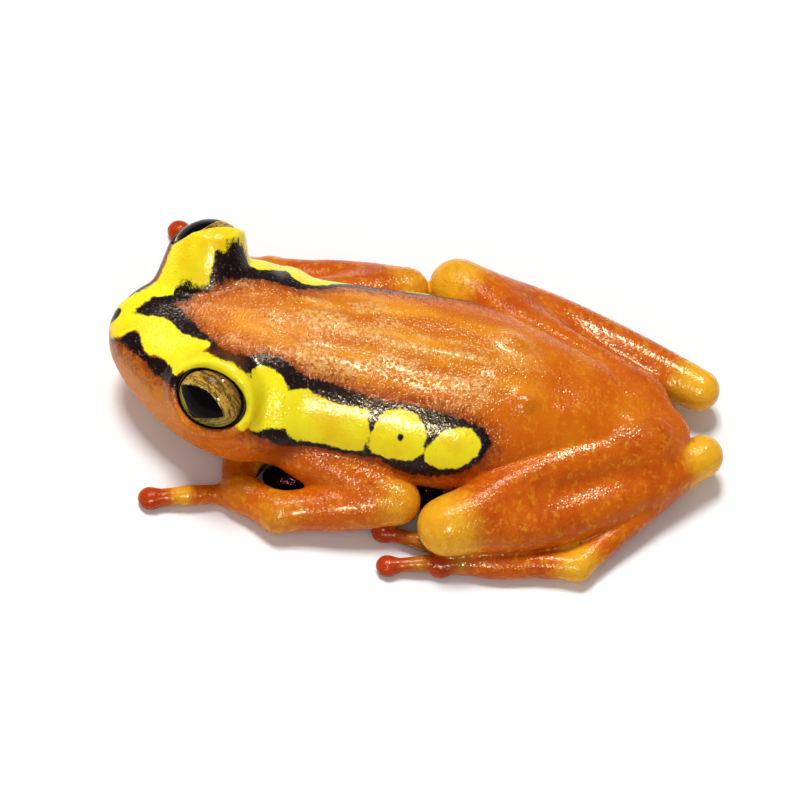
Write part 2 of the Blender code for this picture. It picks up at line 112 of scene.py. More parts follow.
def turn_lamp(thing, way, distance):
    """Places a lamp on the given way from the frog, facing it."""
    aim = Vector(way).normalized()
    place_at = Vector(CAMERA_TARGET) + aim * distance
    thing.matrix_world = Matrix.Translation(place_at) @ aim.to_track_quat("Z", "Y").to_matrix().to_4x4()


key_light = bpy.data.lights.new("key_lamp", "SUN")
key_light.angle = math.radians(KEY_SPREAD)
key_light.energy = KEY_STRENGTH
fill_light = bpy.data.lights.new("fill_lamp", "SUN")
fill_light.angle = math.radians(FILL_SPREAD)
fill_light.energy = FILL_STRENGTH
lamps = [(key_light, KEY_WAY), (fill_light, FILL_WAY)]
for way, power in SPARKS:
    spark_light = bpy.data.lights.new("spark_lamp", "AREA")
    spark_light.size = SPARK_SIZE
    spark_light.energy = power
    spark_light.color = SPARK_COLOUR
    lamps.append((spark_light, way))
for light, way in lamps:
    lamp = bpy.data.objects.new(light.name, light)
    bpy.context.scene.collection.objects.link(lamp)
    lamp.visible_diffuse = light.type == "SUN"
    lamp.visible_glossy = light is not fill_light
    turn_lamp(lamp, way, SPARK_DISTANCE)
room = bpy.data.worlds.new("room")
room.use_nodes = True
room.node_tree.nodes["Background"].inputs["Color"].default_value = (1.0, 1.0, 1.0, 1.0)
room.node_tree.nodes["Background"].inputs["Strength"].default_value = ROOM_LIGHT
bpy.context.scene.world = room
bpy.context.scene.view_settings.view_transform = "Standard"


# Skin
# One unbroken wet skin over the head, trunk and limbs of the crouching frog, in millimetres until
# it is a mesh. It is the zero surface of a distance field: body sections, limbs swept along bowed
# paths and oval pads flow together, softly at the joints and with a tight fold elsewhere.
MM = 0.001
FAR_OFF = 9.0
BODY_LENGTH = 28.8
SNOUT_Y = -15.317
SHIFT_X = 0.11
SIDE_SLOPE = 0.024
SLOPE_PIVOT = 11.0
# net: step of its grid, how the search finds it, and how its points are evened out
GRID_STEP = 0.135
COARSE_TIMES = 4
COARSE_REACH = 1.6
PINCH_ROUNDS = 12
PINCH_DEPTH = 0.15
SETTLE_ROUNDS = 3
SETTLE_SHARE = 0.6
SETTLE_PROBE = 0.01
SETTLE_LIMIT = 0.12
# shape of the trunk
HEAD_END = 9.5
HEAD_FADE = 4.0
# power of the section's superellipse over the trunk, and what the head adds to it
TOP_POWER = (2.15, 0.75)
BOTTOM_POWER = (2.2, 0.3)
END_FILLET = 0.25
# probe of the body's field, and the least slope that it is divided by
FIELD_PROBE = 0.02
LEAST_SLOPE = 0.7

BODY_PROFILE = np.array([
    # station, half width, top, bottom, height of the widest line
    (0.0, 0.35, 4.40, 3.65, 4.05),
    (0.35, 1.12, 4.98, 2.75, 4.00),
    (0.9, 1.90, 5.36, 2.05, 3.80),
    (1.7, 2.75, 5.64, 1.55, 3.50),
    (2.8, 3.65, 5.86, 1.15, 3.25),
    (4.0, 4.42, 6.10, 0.95, 3.00),
    (5.3, 4.95, 6.35, 0.85, 2.80),
    (6.8, 5.25, 6.52, 0.80, 2.60),
    (8.0, 5.20, 6.58, 0.70, 2.70),
    (10.0, 4.85, 6.55, 0.35, 2.75),
    (12.5, 4.85, 6.50, 0.00, 2.80),
    (15.0, 5.00, 6.45, -0.10, 2.80),
    (17.0, 5.00, 6.40, -0.10, 2.80),
    (19.0, 4.60, 6.15, 0.00, 3.00),
    (21.0, 3.90, 5.75, 0.30, 3.20),
    (23.0, 3.20, 5.20, 0.70, 3.15),
    (25.0, 2.50, 4.55, 1.15, 3.00),
    (27.0, 1.70, 3.80, 1.50, 2.80),
    (28.2, 1.00, 3.30, 1.85, 2.65),
    (BODY_LENGTH, 0.30, 2.85, 2.35, 2.60),
])

# Eyes: centre, size and the way that they look
EYE_RADII = np.array((1.8, 1.55, 1.55))
EYE_PLACES = {1: (3.82, 5.38, 5.6), -1: (-4.15, 4.3, 5.8)}
EYE_TURN_FORWARD = 22.0
EYE_TURN_UP = 38.0
DOME_RADIUS = 1.98
DOME_STRETCH = {1: 1.05, -1: 0.92}
DOME_BLEND = 0.35
DOME_FALL = 1.2
DOME_SKIRT = 1.3
DOME_SKIRT_START = 0.8
DOME_AXIS = 3.3
DOME_END = 12.0
LID_ANGLES = {1: (72.0, 60.0), -1: (68.0, 50.0)}
LID_FILLET = 0.14
EYE_PLAY = 0.01
HOLLOW_FILLET = 0.05

# Mouth and nostrils
MOUTH_CORNER = 7.3
MOUTH_DEPTH = 0.16
MOUTH_WIDTH = 0.13
MOUTH_FADE = 0.3
MOUTH_HEIGHT = 2.25
MOUTH_RISE = (0.75, 1.1)
MOUTH_DIP = (0.25, 7.0)
LIP_SWELL = 0.07
LIPS = (
    # height above the line of the mouth, width and share of the swelling
    (0.34, 0.24, 1.0),
    (-0.32, 0.22, 0.7),
)
NOSTRIL_STATION = 0.8
NOSTRIL_ANGLE = 38.0
NOSTRIL_RADIUS = 0.22
NOSTRIL_FILLET = 0.15
FLOOR_FILLET = 0.08


def along_curve(rows, at):
    """Cubic curve through rows of position and values, with slopes limited so that it never overshoots."""
    x, y = rows[:, 0], rows[:, 1:]
    slope = np.diff(y, axis=0) / np.diff(x)[:, None]
    tangent = np.concatenate([slope[:1], np.zeros_like(slope[1:]), slope[-1:]])
    same = slope[:-1] * slope[1:] > 0
    total = np.where(same, slope[:-1] + slope[1:], 1.0)
    tangent[1:-1] = np.where(same, 2 * slope[:-1] * slope[1:] / total, 0.0)
    at = np.clip(at, x[0], x[-1])
    k = np.clip(np.searchsorted(x, at, side="right") - 1, 0, len(x) - 2)
    h = (x[k + 1] - x[k])[:, None]
    s = (at - x[k])[:, None] / h
    first = (2 * s**3 - 3 * s**2 + 1) * y[k] + (s**3 - 2 * s**2 + s) * h * tangent[k]
    second = (-2 * s**3 + 3 * s**2) * y[k + 1] + (s**3 - s**2) * h * tangent[k + 1]
    return first + second


PROFILE_TABLE_AT = np.linspace(0.0, BODY_LENGTH, 577)
PROFILE_TABLE = along_curve(BODY_PROFILE, PROFILE_TABLE_AT)


def profile_at(station):
    """Half width, top, bottom and widest height of the body at each station."""
    return [np.interp(station, PROFILE_TABLE_AT, PROFILE_TABLE[:, i]) for i in range(4)]


def girth_scale(station):
    """Millimetres round the body for one degree of angle."""
    half_width, top, bottom, _ = profile_at(np.clip(station, 0.0, BODY_LENGTH))
    return math.radians(1.0) * 0.5 * (half_width + 0.5 * (top - bottom))


def drift(station):
    """Sideways offset of the head and trunk, which lie a little askew."""
    return SIDE_SLOPE * (station - SLOPE_PIVOT)


def place(point):
    """Side, station and height as a point of the model in millimetres."""
    return np.array((point[0] + SHIFT_X, point[1] + SNOUT_Y, point[2]), dtype=float)


def held(value):
    """Value held between 0 and 1."""
    return np.clip(value, 0.0, 1.0)


def rising(value, start, span):
    """Share that is 0 up to the start and grows to 1 over the span."""
    return held((value - start) / span)


def falling(value, end, span):
    """Share that drops from 1 to 0 over the span before the end."""
    return held((end - value) / span)


def bump(distance, width):
    """Bell curve: one at no distance, fading over the width."""
    return np.exp(-((distance / width) ** 2))


def join(a, b, soft):
    """Union of two distance fields with a fillet of the given size."""
    lap = np.clip(soft - np.abs(a - b), 0.0, None)
    return np.minimum(a, b) - lap * lap / (4.0 * soft)


def carve(a, b, soft):
    """Field a with field b cut out of it, and the rim rounded."""
    return -join(-a, b, soft)


def eye_centre(side):
    """Middle of the eyeball of one side."""
    out, station, height = EYE_PLACES[side]
    return place((out + drift(station), station, height))


def eye_axes(side):
    """Rows: the long axis of an eye, its short axis, and the way that it looks."""
    forward, upward = math.radians(EYE_TURN_FORWARD), math.radians(EYE_TURN_UP)
    flat = math.cos(upward)
    look = np.array((side * math.cos(forward) * flat, -math.sin(forward) * flat, math.sin(upward)))
    along = np.array((math.sin(forward), side * math.cos(forward), 0.0))
    return np.array((along, np.cross(look, along), look))


def mouth_height(station):
    """Height of the line of the mouth, which climbs to the snout and dips at its corner."""
    rise = MOUTH_RISE[0] * np.exp(-station / MOUTH_RISE[1])
    return MOUTH_HEIGHT + rise - MOUTH_DIP[0] * held(station / MOUTH_DIP[1]) ** 3


# Soft ridges and swellings of the trunk: station, angle from the top in degrees, height, width
# along and width across in millimetres
BACK_FORMS = (
    (10.6, -15.0, 0.12, 1.6, 0.55), (12.6, -4.0, 0.14, 1.6, 0.55), (15.2, 1.5, 0.16, 2.0, 0.55),
    (17.8, 1.0, 0.14, 1.8, 0.6), (10.4, 26.0, 0.13, 1.6, 0.6), (12.8, 35.0, 0.12, 1.6, 0.6),
    (15.0, 43.0, 0.10, 1.8, 0.5), (20.3, 32.0, 0.36, 0.7, 0.6), (19.4, -30.0, 0.32, 0.8, 0.6),
    (18.6, 18.0, 0.12, 1.2, 0.6), (11.8, 12.0, -0.10, 2.4, 0.5), (15.5, 22.0, -0.12, 2.2, 0.5),
    (15.5, -22.0, -0.10, 2.6, 0.6), (21.6, 14.0, -0.14, 1.2, 0.8), (22.5, 40.0, 0.12, 1.2, 0.6),
    (25.8, 35.0, 0.20, 0.7, 0.55), (26.0, -35.0, 0.18, 0.7, 0.55), (8.3, 0.0, -0.10, 1.0, 1.2),
    (4.6, 0.0, -0.12, 1.6, 1.0), (7.9, 62.0, -0.14, 0.35, 0.9), (7.9, -62.0, -0.14, 0.35, 0.9),
    (8.8, 80.0, 0.18, 0.7, 0.7), (8.8, -80.0, 0.18, 0.7, 0.7),
)


def back_relief(station, angle, scale):
    """Sum of the swellings at stations and angles, in millimetres outward."""
    height = np.zeros(len(station))
    for at, turn, tall, long, wide in BACK_FORMS:
        height += tall * np.exp(-((station - at) / long) ** 2 - ((angle - turn) * scale / wide) ** 2)
    return height


def body_radius(points):
    """Distance from the axis of each point's section, less the radius of the body on that ray.

    The section is a superellipse, boxy over the head, with the lid domes pushed out of it,
    the lips swollen and the mouth pressed in.
    """
    station = points[:, 1] - SNOUT_Y
    within = np.clip(station, 0.0, BODY_LENGTH)
    half_width, top, bottom, widest = profile_at(within)
    head = falling(within, HEAD_END, HEAD_FADE)
    x = points[:, 0] - SHIFT_X - drift(within)
    z = points[:, 2] - widest
    above = z > 0
    power = np.where(above, TOP_POWER[0] + TOP_POWER[1] * head, BOTTOM_POWER[0] + BOTTOM_POWER[1] * head)
    height = np.where(above, top - widest, widest - bottom)
    size = (np.abs(x / half_width) ** power + np.abs(z / height) ** power) ** (1.0 / power)
    distance = np.hypot(x, z)
    miss = distance * (1.0 - 1.0 / np.maximum(size, 1e-3))

    # Lids, measured on rays from an axis a little above the widest line
    ray = np.stack([x, points[:, 2] - DOME_AXIS], axis=1)
    length = np.maximum(np.linalg.norm(ray, axis=1), 1e-6)
    way = ray / length[:, None]
    reach = length - miss
    near_head = station < DOME_END
    for side, (out, middle, rise) in EYE_PLACES.items():
        eye_at = np.array((out, rise - DOME_AXIS))
        along = way[near_head] @ eye_at
        aside = eye_at @ eye_at - along**2 + ((within[near_head] - middle) / DOME_STRETCH[side]) ** 2
        aside = aside / DOME_RADIUS**2
        fall = np.sqrt(1.0 + DOME_FALL * aside) + DOME_SKIRT * np.clip(aside - DOME_SKIRT_START, 0.0, None)
        far = along + DOME_RADIUS * (2.0 - fall)
        gap = np.clip((reach[near_head] - far) / DOME_BLEND, -30.0, 30.0)
        reach[near_head] += DOME_BLEND * np.log1p(np.exp(-gap))
    miss = length - reach

    # Lips and the line of the mouth
    fade = 1.0 / (1.0 + np.exp((within - MOUTH_CORNER) / MOUTH_FADE))
    rise = points[:, 2] - mouth_height(within)
    lip = LIP_SWELL * sum(part * bump(rise - at, wide) for at, wide, part in LIPS)
    line = MOUTH_DEPTH * bump(rise, MOUTH_WIDTH)
    miss = miss + fade * (line - lip)
    angle = np.degrees(np.arctan2(x, points[:, 2] - DOME_AXIS))
    return miss - back_relief(within, angle, girth_scale(within))


def slope_of(field, points, probe):
    """Value and gradient of a field at points."""
    here = field(points)
    slope = np.zeros_like(points)
    for axis in range(3):
        step = np.zeros(3)
        step[axis] = probe
        slope[:, axis] = (field(points + step) - here) / probe
    return here, slope


def body_field(points):
    """Body radius field turned into a distance by its own slope, closed at the snout and the vent."""
    here, slope = slope_of(body_radius, points, FIELD_PROBE)
    distance = here / np.maximum(np.linalg.norm(slope, axis=1), LEAST_SLOPE)
    station = points[:, 1] - SNOUT_Y
    ahead = -station
    behind = station - BODY_LENGTH
    return join_max(join_max(distance, ahead, END_FILLET), behind, END_FILLET)


def join_max(a, b, soft):
    """Overlap of two fields with a rounded edge."""
    return -join(-a, -b, soft)


def oval(points, centre, radii):
    """Distance to an ellipsoid, near enough."""
    p, radii = points - centre, np.array(radii)
    inner = np.linalg.norm(p / radii, axis=1)
    outer = np.linalg.norm(p / np.square(radii), axis=1)
    return inner * (inner - 1.0) / np.maximum(outer, 1e-6)


def limb_path(stops, radii, bow, side, steps=22):
    """Centres and radii along a limb, bowed outward and upward in its middle."""
    spots = np.array([place(p) for p in stops])
    travel = np.concatenate([[0.0], np.cumsum(np.linalg.norm(np.diff(spots, axis=0), axis=1))])
    at = np.linspace(0.0, travel[-1], steps)
    centre = along_curve(np.column_stack([travel, spots]), at)
    bulge = np.sin(math.pi * at / travel[-1])
    centre[:, 0] += side * bow[0] * bulge
    centre[:, 2] += bow[1] * bulge
    places = np.linspace(0.0, travel[-1], len(radii))
    radius = along_curve(np.column_stack([places, radii]), at)[:, 0]
    return centre, radius


def tube(points, centre, radius):
    """Distance to a tube with changing radius along a chain of centres."""
    best = np.full(len(points), FAR_OFF)
    for a, b, ra, rb in zip(centre[:-1], centre[1:], radius[:-1], radius[1:]):
        way = b - a
        t = np.clip((points - a) @ way / (way @ way), 0.0, 1.0)
        off = points - a - t[:, None] * way
        best = np.minimum(best, np.sqrt((off * off).sum(axis=1)) - ra - t * (rb - ra))
    return best


# Arms: joints as side, distance behind the snout and height
ARMS = {
    1: {
        "shoulder": (3.9, 9.0, 2.5),
        "elbow": (5.9, 14.8, 1.75),
        "wrist": (6.95, 9.2, 1.05),
        "palm": (6.0, 7.35, 0.8),
        "fingers": ((3.2, 8.6), (2.9, 7.7), (3.1, 6.7), (6.72, 3.05)),
    },
    -1: {
        "shoulder": (-3.9, 8.8, 2.5),
        "elbow": (-6.3, 14.4, 1.75),
        "wrist": (-6.55, 7.6, 1.0),
        "palm": (-6.6, 6.4, 0.7),
        "fingers": ((-4.1, 7.0), (-4.5, 5.4), (-6.3, 3.9), (-8.95, 2.95)),
    },
}
UPPER_ARM_RADII = (1.1, 1.3, 1.28, 1.08)
FOREARM_RADII = (1.05, 1.22, 1.18, 1.02, 0.98)
PALM_RADII = (0.98, 0.92, 0.82)
HAND_STEPS = 8
FINGER_RADIUS = 0.44
FINGER_DISC = 0.56
HAND_PAD = (0.95, 1.05, 0.78)
HAND_FAN = -0.1

# Legs, folded with the heel beside the vent
LEGS = {
    1: {
        "hip": (1.7, 26.6, 2.75),
        "knee": (7.1, 17.3, 2.05),
        "heel": (1.05, 29.6, 1.75),
        "ankle": (7.6, 23.9, 0.75),
        "sole": (7.9, 19.4, 0.62),
        "calf_bow": 1.2,
        "toes": ((5.9, 18.4), (6.0, 16.6), (6.9, 14.4), (8.75, 14.75), (8.45, 17.3)),
    },
    -1: {
        "hip": (-1.4, 26.2, 2.55),
        "knee": (-6.7, 16.95, 2.05),
        "heel": (-2.8, 29.3, 1.7),
        "ankle": (-6.2, 23.6, 0.75),
        "sole": (-6.75, 19.6, 0.62),
        "calf_bow": 0.35,
        "toes": ((-4.9, 18.6), (-4.8, 17.2), (-5.4, 16.0), (-6.5, 16.2), (-7.2, 17.6)),
    },
}
THIGH_RADII = (1.2, 1.25, 1.26, 1.2)
SHANK_RADII = (1.22, 1.4, 1.28, 1.04)
TARSUS_RADII = (0.8, 0.76, 0.7, 0.68)
THIGH_BOW = (-0.6, 0.65)
HIP_MELT = 1.5
HIP_REACH = 1.9
HIP_EDGE = 1.5
LIMB_FAR = 4.0
CALF_DROP = -0.1
TARSUS_START = 0.16
ANKLE_RADII = (0.68, 0.66, 0.6)
WEB_SHIFT = (1.15, 0.55)
WEB_HEIGHT = 0.6
WEB_RADII = (0.85, 1.45, 0.62)
TOE_RADIUS = 0.36
TOE_DISC = 0.54
FOOT_PAD = (0.85, 2.4, 0.62)
FOOT_FAN = 0.75

# Digits: heights at the start, middle and disc, and radii along them as shares of the given one
DIGIT_HEIGHTS = (0.55, 0.62, 0.38)
DIGIT_TAPER = (1.2, 1.04, 1.1, 0.96, 0.98)
DIGIT_STEPS = 14
DIGIT_START = 0.45
DIGIT_BOW = 0.06
DISC_HEIGHT = 0.40
DISC_SHAPE = np.array((1.0, 1.05, 0.8))

# Softness with which each form joins its limb, and each limb joins the body
FORM_SOFTNESS = {
    "palm": 0.6, "wrist": 0.4, "forearm": 0.25, "upper_arm": 0.2, "fold": 0.2, "sole": 0.4, "ankle": 0.4,
    "web": 0.4, "tarsus": 0.35, "shank": 0.2, "thigh": 0.95, "digit": 0.25, "disc": 0.22,
}
LIMB_SOFTNESS = {"hand": 0.16, "upper_arm": 0.4, "fold": 0.2, "foot": 0.16, "leg": 0.15}


def digit_forms(base, tips, radius, disc, spread, fan):
    """Tubes and discs of the digits of a hand or foot, from its pad to each tip."""
    low, middle_height, tip_height = DIGIT_HEIGHTS
    forms = []
    for number, (side, station) in enumerate(tips):
        part = number / (len(tips) - 1) - 0.5
        start_side = base[0] + fan * part * math.copysign(1.0, base[0])
        start_station = base[1] - DIGIT_START * spread[1]
        middle_side = 0.5 * (start_side + side) + DIGIT_BOW * (side - base[0])
        middle = (middle_side, 0.5 * (start_station + station), middle_height)
        path = ((start_side, start_station, low), middle, (side, station, tip_height))
        radii = [radius * part for part in DIGIT_TAPER]
        forms.append(form("digit", limb_path(path, radii, (0.0, 0.0), 1, DIGIT_STEPS)))
        forms.append(form("disc", (place((side, station, DISC_HEIGHT)), disc * DISC_SHAPE)))
    return forms


FOLDS = (
    # folds of the flank behind the upper arm and before the knee, painted black as shade: side, station,
    # height, radii
    ((4.85, 9.5, 0.75), (0.75, 1.2, 0.65)),
    ((4.7, 16.35, 0.8), (0.9, 0.75, 0.7)),
)
OVAL_FORMS = ("palm", "fold", "sole", "web", "disc")


def form(name, data):
    """One form of a limb: its kind, its centre and size, and the softness with which it joins."""
    return "oval" if name in OVAL_FORMS else "tube", data, FORM_SOFTNESS[name]


def limb_forms(side):
    """All forms of the limbs of one side, in the order that they are joined."""
    arm, leg = ARMS[side], LEGS[side]
    straight = (0.0, 0.0)
    hand = [form("palm", (place(arm["palm"]), HAND_PAD))]
    hand += digit_forms(arm["palm"], arm["fingers"], FINGER_RADIUS, FINGER_DISC, HAND_PAD, HAND_FAN)
    wrist = limb_path((arm["wrist"], arm["palm"]), PALM_RADII, straight, side, HAND_STEPS)
    hand.append(form("wrist", wrist))
    forearm = limb_path((arm["elbow"], arm["wrist"]), FOREARM_RADII, straight, side)
    hand.append(form("forearm", forearm))
    upper = limb_path((arm["shoulder"], arm["elbow"]), UPPER_ARM_RADII, straight, side)
    folds = [form("fold", (place((side * x, y, z)), radii)) for (x, y, z), radii in FOLDS]
    foot = [form("sole", (place(leg["sole"]), FOOT_PAD))]
    ankle = limb_path((leg["ankle"], leg["sole"]), ANKLE_RADII, straight, side, HAND_STEPS)
    foot.append(form("ankle", ankle))
    web = (leg["ankle"][0] - side * WEB_SHIFT[0], leg["ankle"][1] - WEB_SHIFT[1], WEB_HEIGHT)
    foot.append(form("web", (place(web), WEB_RADII)))
    foot += digit_forms(leg["sole"], leg["toes"], TOE_RADIUS, TOE_DISC, FOOT_PAD, FOOT_FAN)
    start = tuple(a + TARSUS_START * (b - a) for a, b in zip(leg["heel"], leg["ankle"]))
    foot.append(form("tarsus", limb_path((start, leg["ankle"]), TARSUS_RADII, straight, side)))
    shank = limb_path((leg["knee"], leg["heel"]), SHANK_RADII, (leg["calf_bow"], CALF_DROP), side)
    thigh = limb_path((leg["hip"], leg["knee"]), THIGH_RADII, THIGH_BOW, side)
    return [
        (hand, LIMB_SOFTNESS["hand"], None),
        ([form("upper_arm", upper)], LIMB_SOFTNESS["upper_arm"], None),
        (folds, LIMB_SOFTNESS["fold"], None),
        (foot, LIMB_SOFTNESS["foot"], None),
        ([form("shank", shank), form("thigh", thigh)], LIMB_SOFTNESS["leg"], place(leg["hip"])),
    ]


LIMBS = [group for side in (1, -1) for group in limb_forms(side)]


def form_box(kind, data):
    """Corners of the space in which a form can matter."""
    centre, size = np.array(data[0]), np.array(data[1])
    if kind == "tube":
        return (centre - size[:, None]).min(axis=0) - 1.0, (centre + size[:, None]).max(axis=0) + 1.0
    return centre - size - 1.0, centre + size + 1.0


def eye_opening(points, side):
    """Field of the opening between the lids and of the hollow that holds the eyeball."""
    p = (points - eye_centre(side)) @ eye_axes(side).T
    wide = [math.tan(math.radians(angle)) for angle in LID_ANGLES[side]]
    cone = (np.hypot(p[:, 0] / wide[0], p[:, 1] / wide[1]) - p[:, 2]) * 0.5
    return cone, oval(p, np.zeros(3), EYE_RADII + EYE_PLAY)


def nostril_centre(side):
    """Point on the section of the snout at the nostril's angle."""
    half_width, top, _, widest = along_curve(BODY_PROFILE, np.array([NOSTRIL_STATION]))[0]
    turn = math.radians(NOSTRIL_ANGLE)
    power = sum(TOP_POWER)
    reach = (math.cos(turn) ** power + math.sin(turn) ** power) ** (-1.0 / power)
    return place((
        side * half_width * reach * math.cos(turn) + drift(NOSTRIL_STATION),
        NOSTRIL_STATION,
        widest + (top - widest) * reach * math.sin(turn),
    ))


def frog_field(points):
    """Distance to the skin of the whole frog, negative inside."""
    field = body_field(points)
    for forms, soft, hip in LIMBS:
        if hip is not None:
            from_hip = np.linalg.norm(points - hip, axis=1)
            soft = soft + HIP_MELT * held(HIP_EDGE - from_hip / HIP_REACH)
        group = np.full(len(points), LIMB_FAR)
        for kind, data, own_soft in forms:
            low, high = form_box(kind, data)
            near = np.all((points > low) & (points < high), axis=1)
            if near.any():
                measure = tube if kind == "tube" else oval
                group[near] = join(group[near], measure(points[near], *data), own_soft)
        field = join(field, group, soft)
    for side in (1, -1):
        cone, hollow = eye_opening(points, side)
        field = carve(field, cone, LID_FILLET)
        field = carve(field, hollow, HOLLOW_FILLET)
        pit = np.linalg.norm(points - nostril_centre(side), axis=1) - NOSTRIL_RADIUS
        field = carve(field, pit, NOSTRIL_FILLET)
    return join_max(field, -points[:, 2], FLOOR_FILLET)


def fill_pinches(value, step):
    """Fills grid corners until no face of a cell is crossed twice, so that the net never pinches."""
    for _ in range(PINCH_ROUNDS):
        changed = 0
        for one, two in ((0, 1), (0, 2), (1, 2)):
            cut = [[slice(None)] * 3 for _ in range(4)]
            for number, (u, v) in enumerate(((0, 0), (1, 0), (1, 1), (0, 1))):
                cut[number][one] = slice(1, None) if u else slice(None, -1)
                cut[number][two] = slice(1, None) if v else slice(None, -1)
            a, b, c, d = (value[tuple(part)] < 0 for part in cut)
            twice = (a == c) & (b == d) & (a != b)
            changed += int(twice.sum())
            for part in cut:
                view = value[tuple(part)]
                view[twice & (view >= 0)] = -PINCH_DEPTH * step
        if changed == 0:
            break
    return value


def finer(coarse, shape):
    """Coarse grid repeated to the finer grid's shape."""
    for axis in range(3):
        coarse = np.repeat(coarse, COARSE_TIMES, axis)
    return coarse[:shape[0], :shape[1], :shape[2]]


def net_surface(field, low, high, step):
    """Closed quad net on the zero surface of a field.

    Grid cells that the surface passes through each get one point, the mean of the crossings on
    the cell's edges, and each crossed grid edge gets one quad between its four cells.
    """
    coarse = step * COARSE_TIMES
    count = np.ceil((high - low) / coarse).astype(int) + 1
    axes = [low[i] + coarse * np.arange(count[i] + 1) for i in range(3)]
    nodes = np.stack(np.meshgrid(*axes, indexing="ij"), axis=-1)
    rough = field(nodes.reshape(-1, 3)).reshape(nodes.shape[:3])
    fine_shape = count * COARSE_TIMES + 1
    value = np.where(finer(rough, fine_shape) > 0, FAR_OFF, -FAR_OFF)
    close = np.abs(rough) < coarse * COARSE_REACH
    wide = np.zeros_like(close)
    for shift in np.ndindex(3, 3, 3):
        wide |= np.roll(close, np.array(shift) - 1, axis=(0, 1, 2))
    mask = finer(wide, fine_shape)
    index = np.argwhere(mask)
    value[mask] = field(low + index * step)
    value = fill_pinches(value, step)

    cells = np.zeros(np.array(value.shape) - 1, dtype=np.int8)
    corners = [(i, j, k) for i in (0, 1) for j in (0, 1) for k in (0, 1)]
    inside = value < 0
    shape = cells.shape
    for i, j, k in corners:
        cells += inside[i:i + shape[0], j:j + shape[1], k:k + shape[2]]
    mixed = np.argwhere((cells > 0) & (cells < 8))
    number = np.full(shape, -1, dtype=np.int64)
    number[tuple(mixed.T)] = np.arange(len(mixed))
    total = np.zeros((len(mixed), 3))
    hits = np.zeros(len(mixed))
    for a in corners:
        for axis in range(3):
            if a[axis]:
                continue
            b = tuple(c + (1 if n == axis else 0) for n, c in enumerate(a))
            va = value[tuple((mixed + a).T)]
            vb = value[tuple((mixed + b).T)]
            cross = (va < 0) != (vb < 0)
            t = np.where(cross, va / np.where(cross, va - vb, 1.0), 0.0)
            spot = mixed + np.array(a, dtype=float)
            spot[:, axis] += t
            total[cross] += spot[cross]
            hits[cross] += 1
    verts = low + step * total / hits[:, None]
    quads = []
    for axis in range(3):
        one, two = [n for n in range(3) if n != axis]
        lower = np.moveaxis(inside, axis, 0)
        change = np.argwhere(lower[:-1] != lower[1:])
        cell = np.zeros((len(change), 3), dtype=int)
        cell[:, axis] = change[:, 0]
        cell[:, one] = change[:, 1]
        cell[:, two] = change[:, 2]
        ring = []
        for u, v in ((0, 0), (1, 0), (1, 1), (0, 1)):
            at = cell.copy()
            at[:, one] -= u
            at[:, two] -= v
            ring.append(number[tuple(at.T)])
        quad = np.stack(ring, axis=1)
        starts_inside = inside[tuple(cell.T)]
        flip = starts_inside if axis != 1 else ~starts_inside
        quad[flip] = quad[flip][:, ::-1]
        quads.append(quad)
    return verts, np.concatenate(quads)


def settle(field, verts, quads):
    """Evens out a net and draws it back to the zero surface, round by round."""
    edges = np.concatenate([quads[:, [0, 1]], quads[:, [1, 2]], quads[:, [2, 3]], quads[:, [3, 0]]])
    degree = np.bincount(edges.ravel(), minlength=len(verts)).astype(float)
    for _ in range(SETTLE_ROUNDS):
        mean = np.zeros_like(verts)
        for axis in range(3):
            mean[:, axis] = (
                np.bincount(edges[:, 0], verts[edges[:, 1], axis], len(verts))
                + np.bincount(edges[:, 1], verts[edges[:, 0], axis], len(verts))
            ) / degree
        verts = verts + SETTLE_SHARE * (mean - verts)
        here, slope = slope_of(field, verts, SETTLE_PROBE)
        size = np.maximum((slope * slope).sum(axis=1), 0.25)
        move = np.clip(-here / size, -SETTLE_LIMIT, SETTLE_LIMIT)
        verts = verts + move[:, None] * slope
    return verts


NET_LOW = np.array((-9.7, -15.9, -0.35))
NET_HIGH = np.array((9.7, 15.9, 8.2))
skin_verts, skin_quads = net_surface(frog_field, NET_LOW, NET_HIGH, GRID_STEP)
skin_verts = settle(frog_field, skin_verts, skin_quads)


def mesh_piece(name, verts, faces):
    """Smooth object from points in millimetres and a list of faces."""
    mesh = bpy.data.meshes.new(name)
    mesh.from_pydata((verts * MM).tolist(), [], faces)
    mesh.polygons.foreach_set("use_smooth", np.ones(len(mesh.polygons), dtype=bool))
    thing = bpy.data.objects.new(name, mesh)
    bpy.context.scene.collection.objects.link(thing)
    return thing


skin = mesh_piece("frog_skin", skin_verts, skin_quads.tolist())


def store(thing, name, values):
    """Keeps one number per point in the mesh under a name."""
    layer = thing.data.attributes.new(name, "FLOAT", "POINT")
    layer.data.foreach_set("value", np.asarray(values, dtype=np.float32))


# Markings
# The back is framed by a black band on each side, and outside it a yellow stripe runs from the
# snout over the lid and breaks into round spots on the flank. They are pigment in the skin.
# Corners that the photo shows were picked in an enlargement of its 800-pixel frame, some
# were then moved a little, and the camera's rays carry them onto the body. The other corners are
# places on the body: distance behind the snout in millimetres and angle from the top in degrees,
# left side positive.
PHOTO_SIZE = 800
ENLARGED_CORNER = (90.0, 190.0)
ENLARGED_TIMES = 4.0
RAY_SPAN = (203.0, 233.0)
RAY_STEPS = 301
RAY_HALVINGS = 24


def unrolled(points):
    """Station in millimetres and angle from the top line in degrees of points on the body."""
    station = points[:, 1] - SNOUT_Y
    x = points[:, 0] - SHIFT_X - drift(station)
    angle = np.degrees(np.arctan2(x, points[:, 2] - DOME_AXIS))
    return station, angle


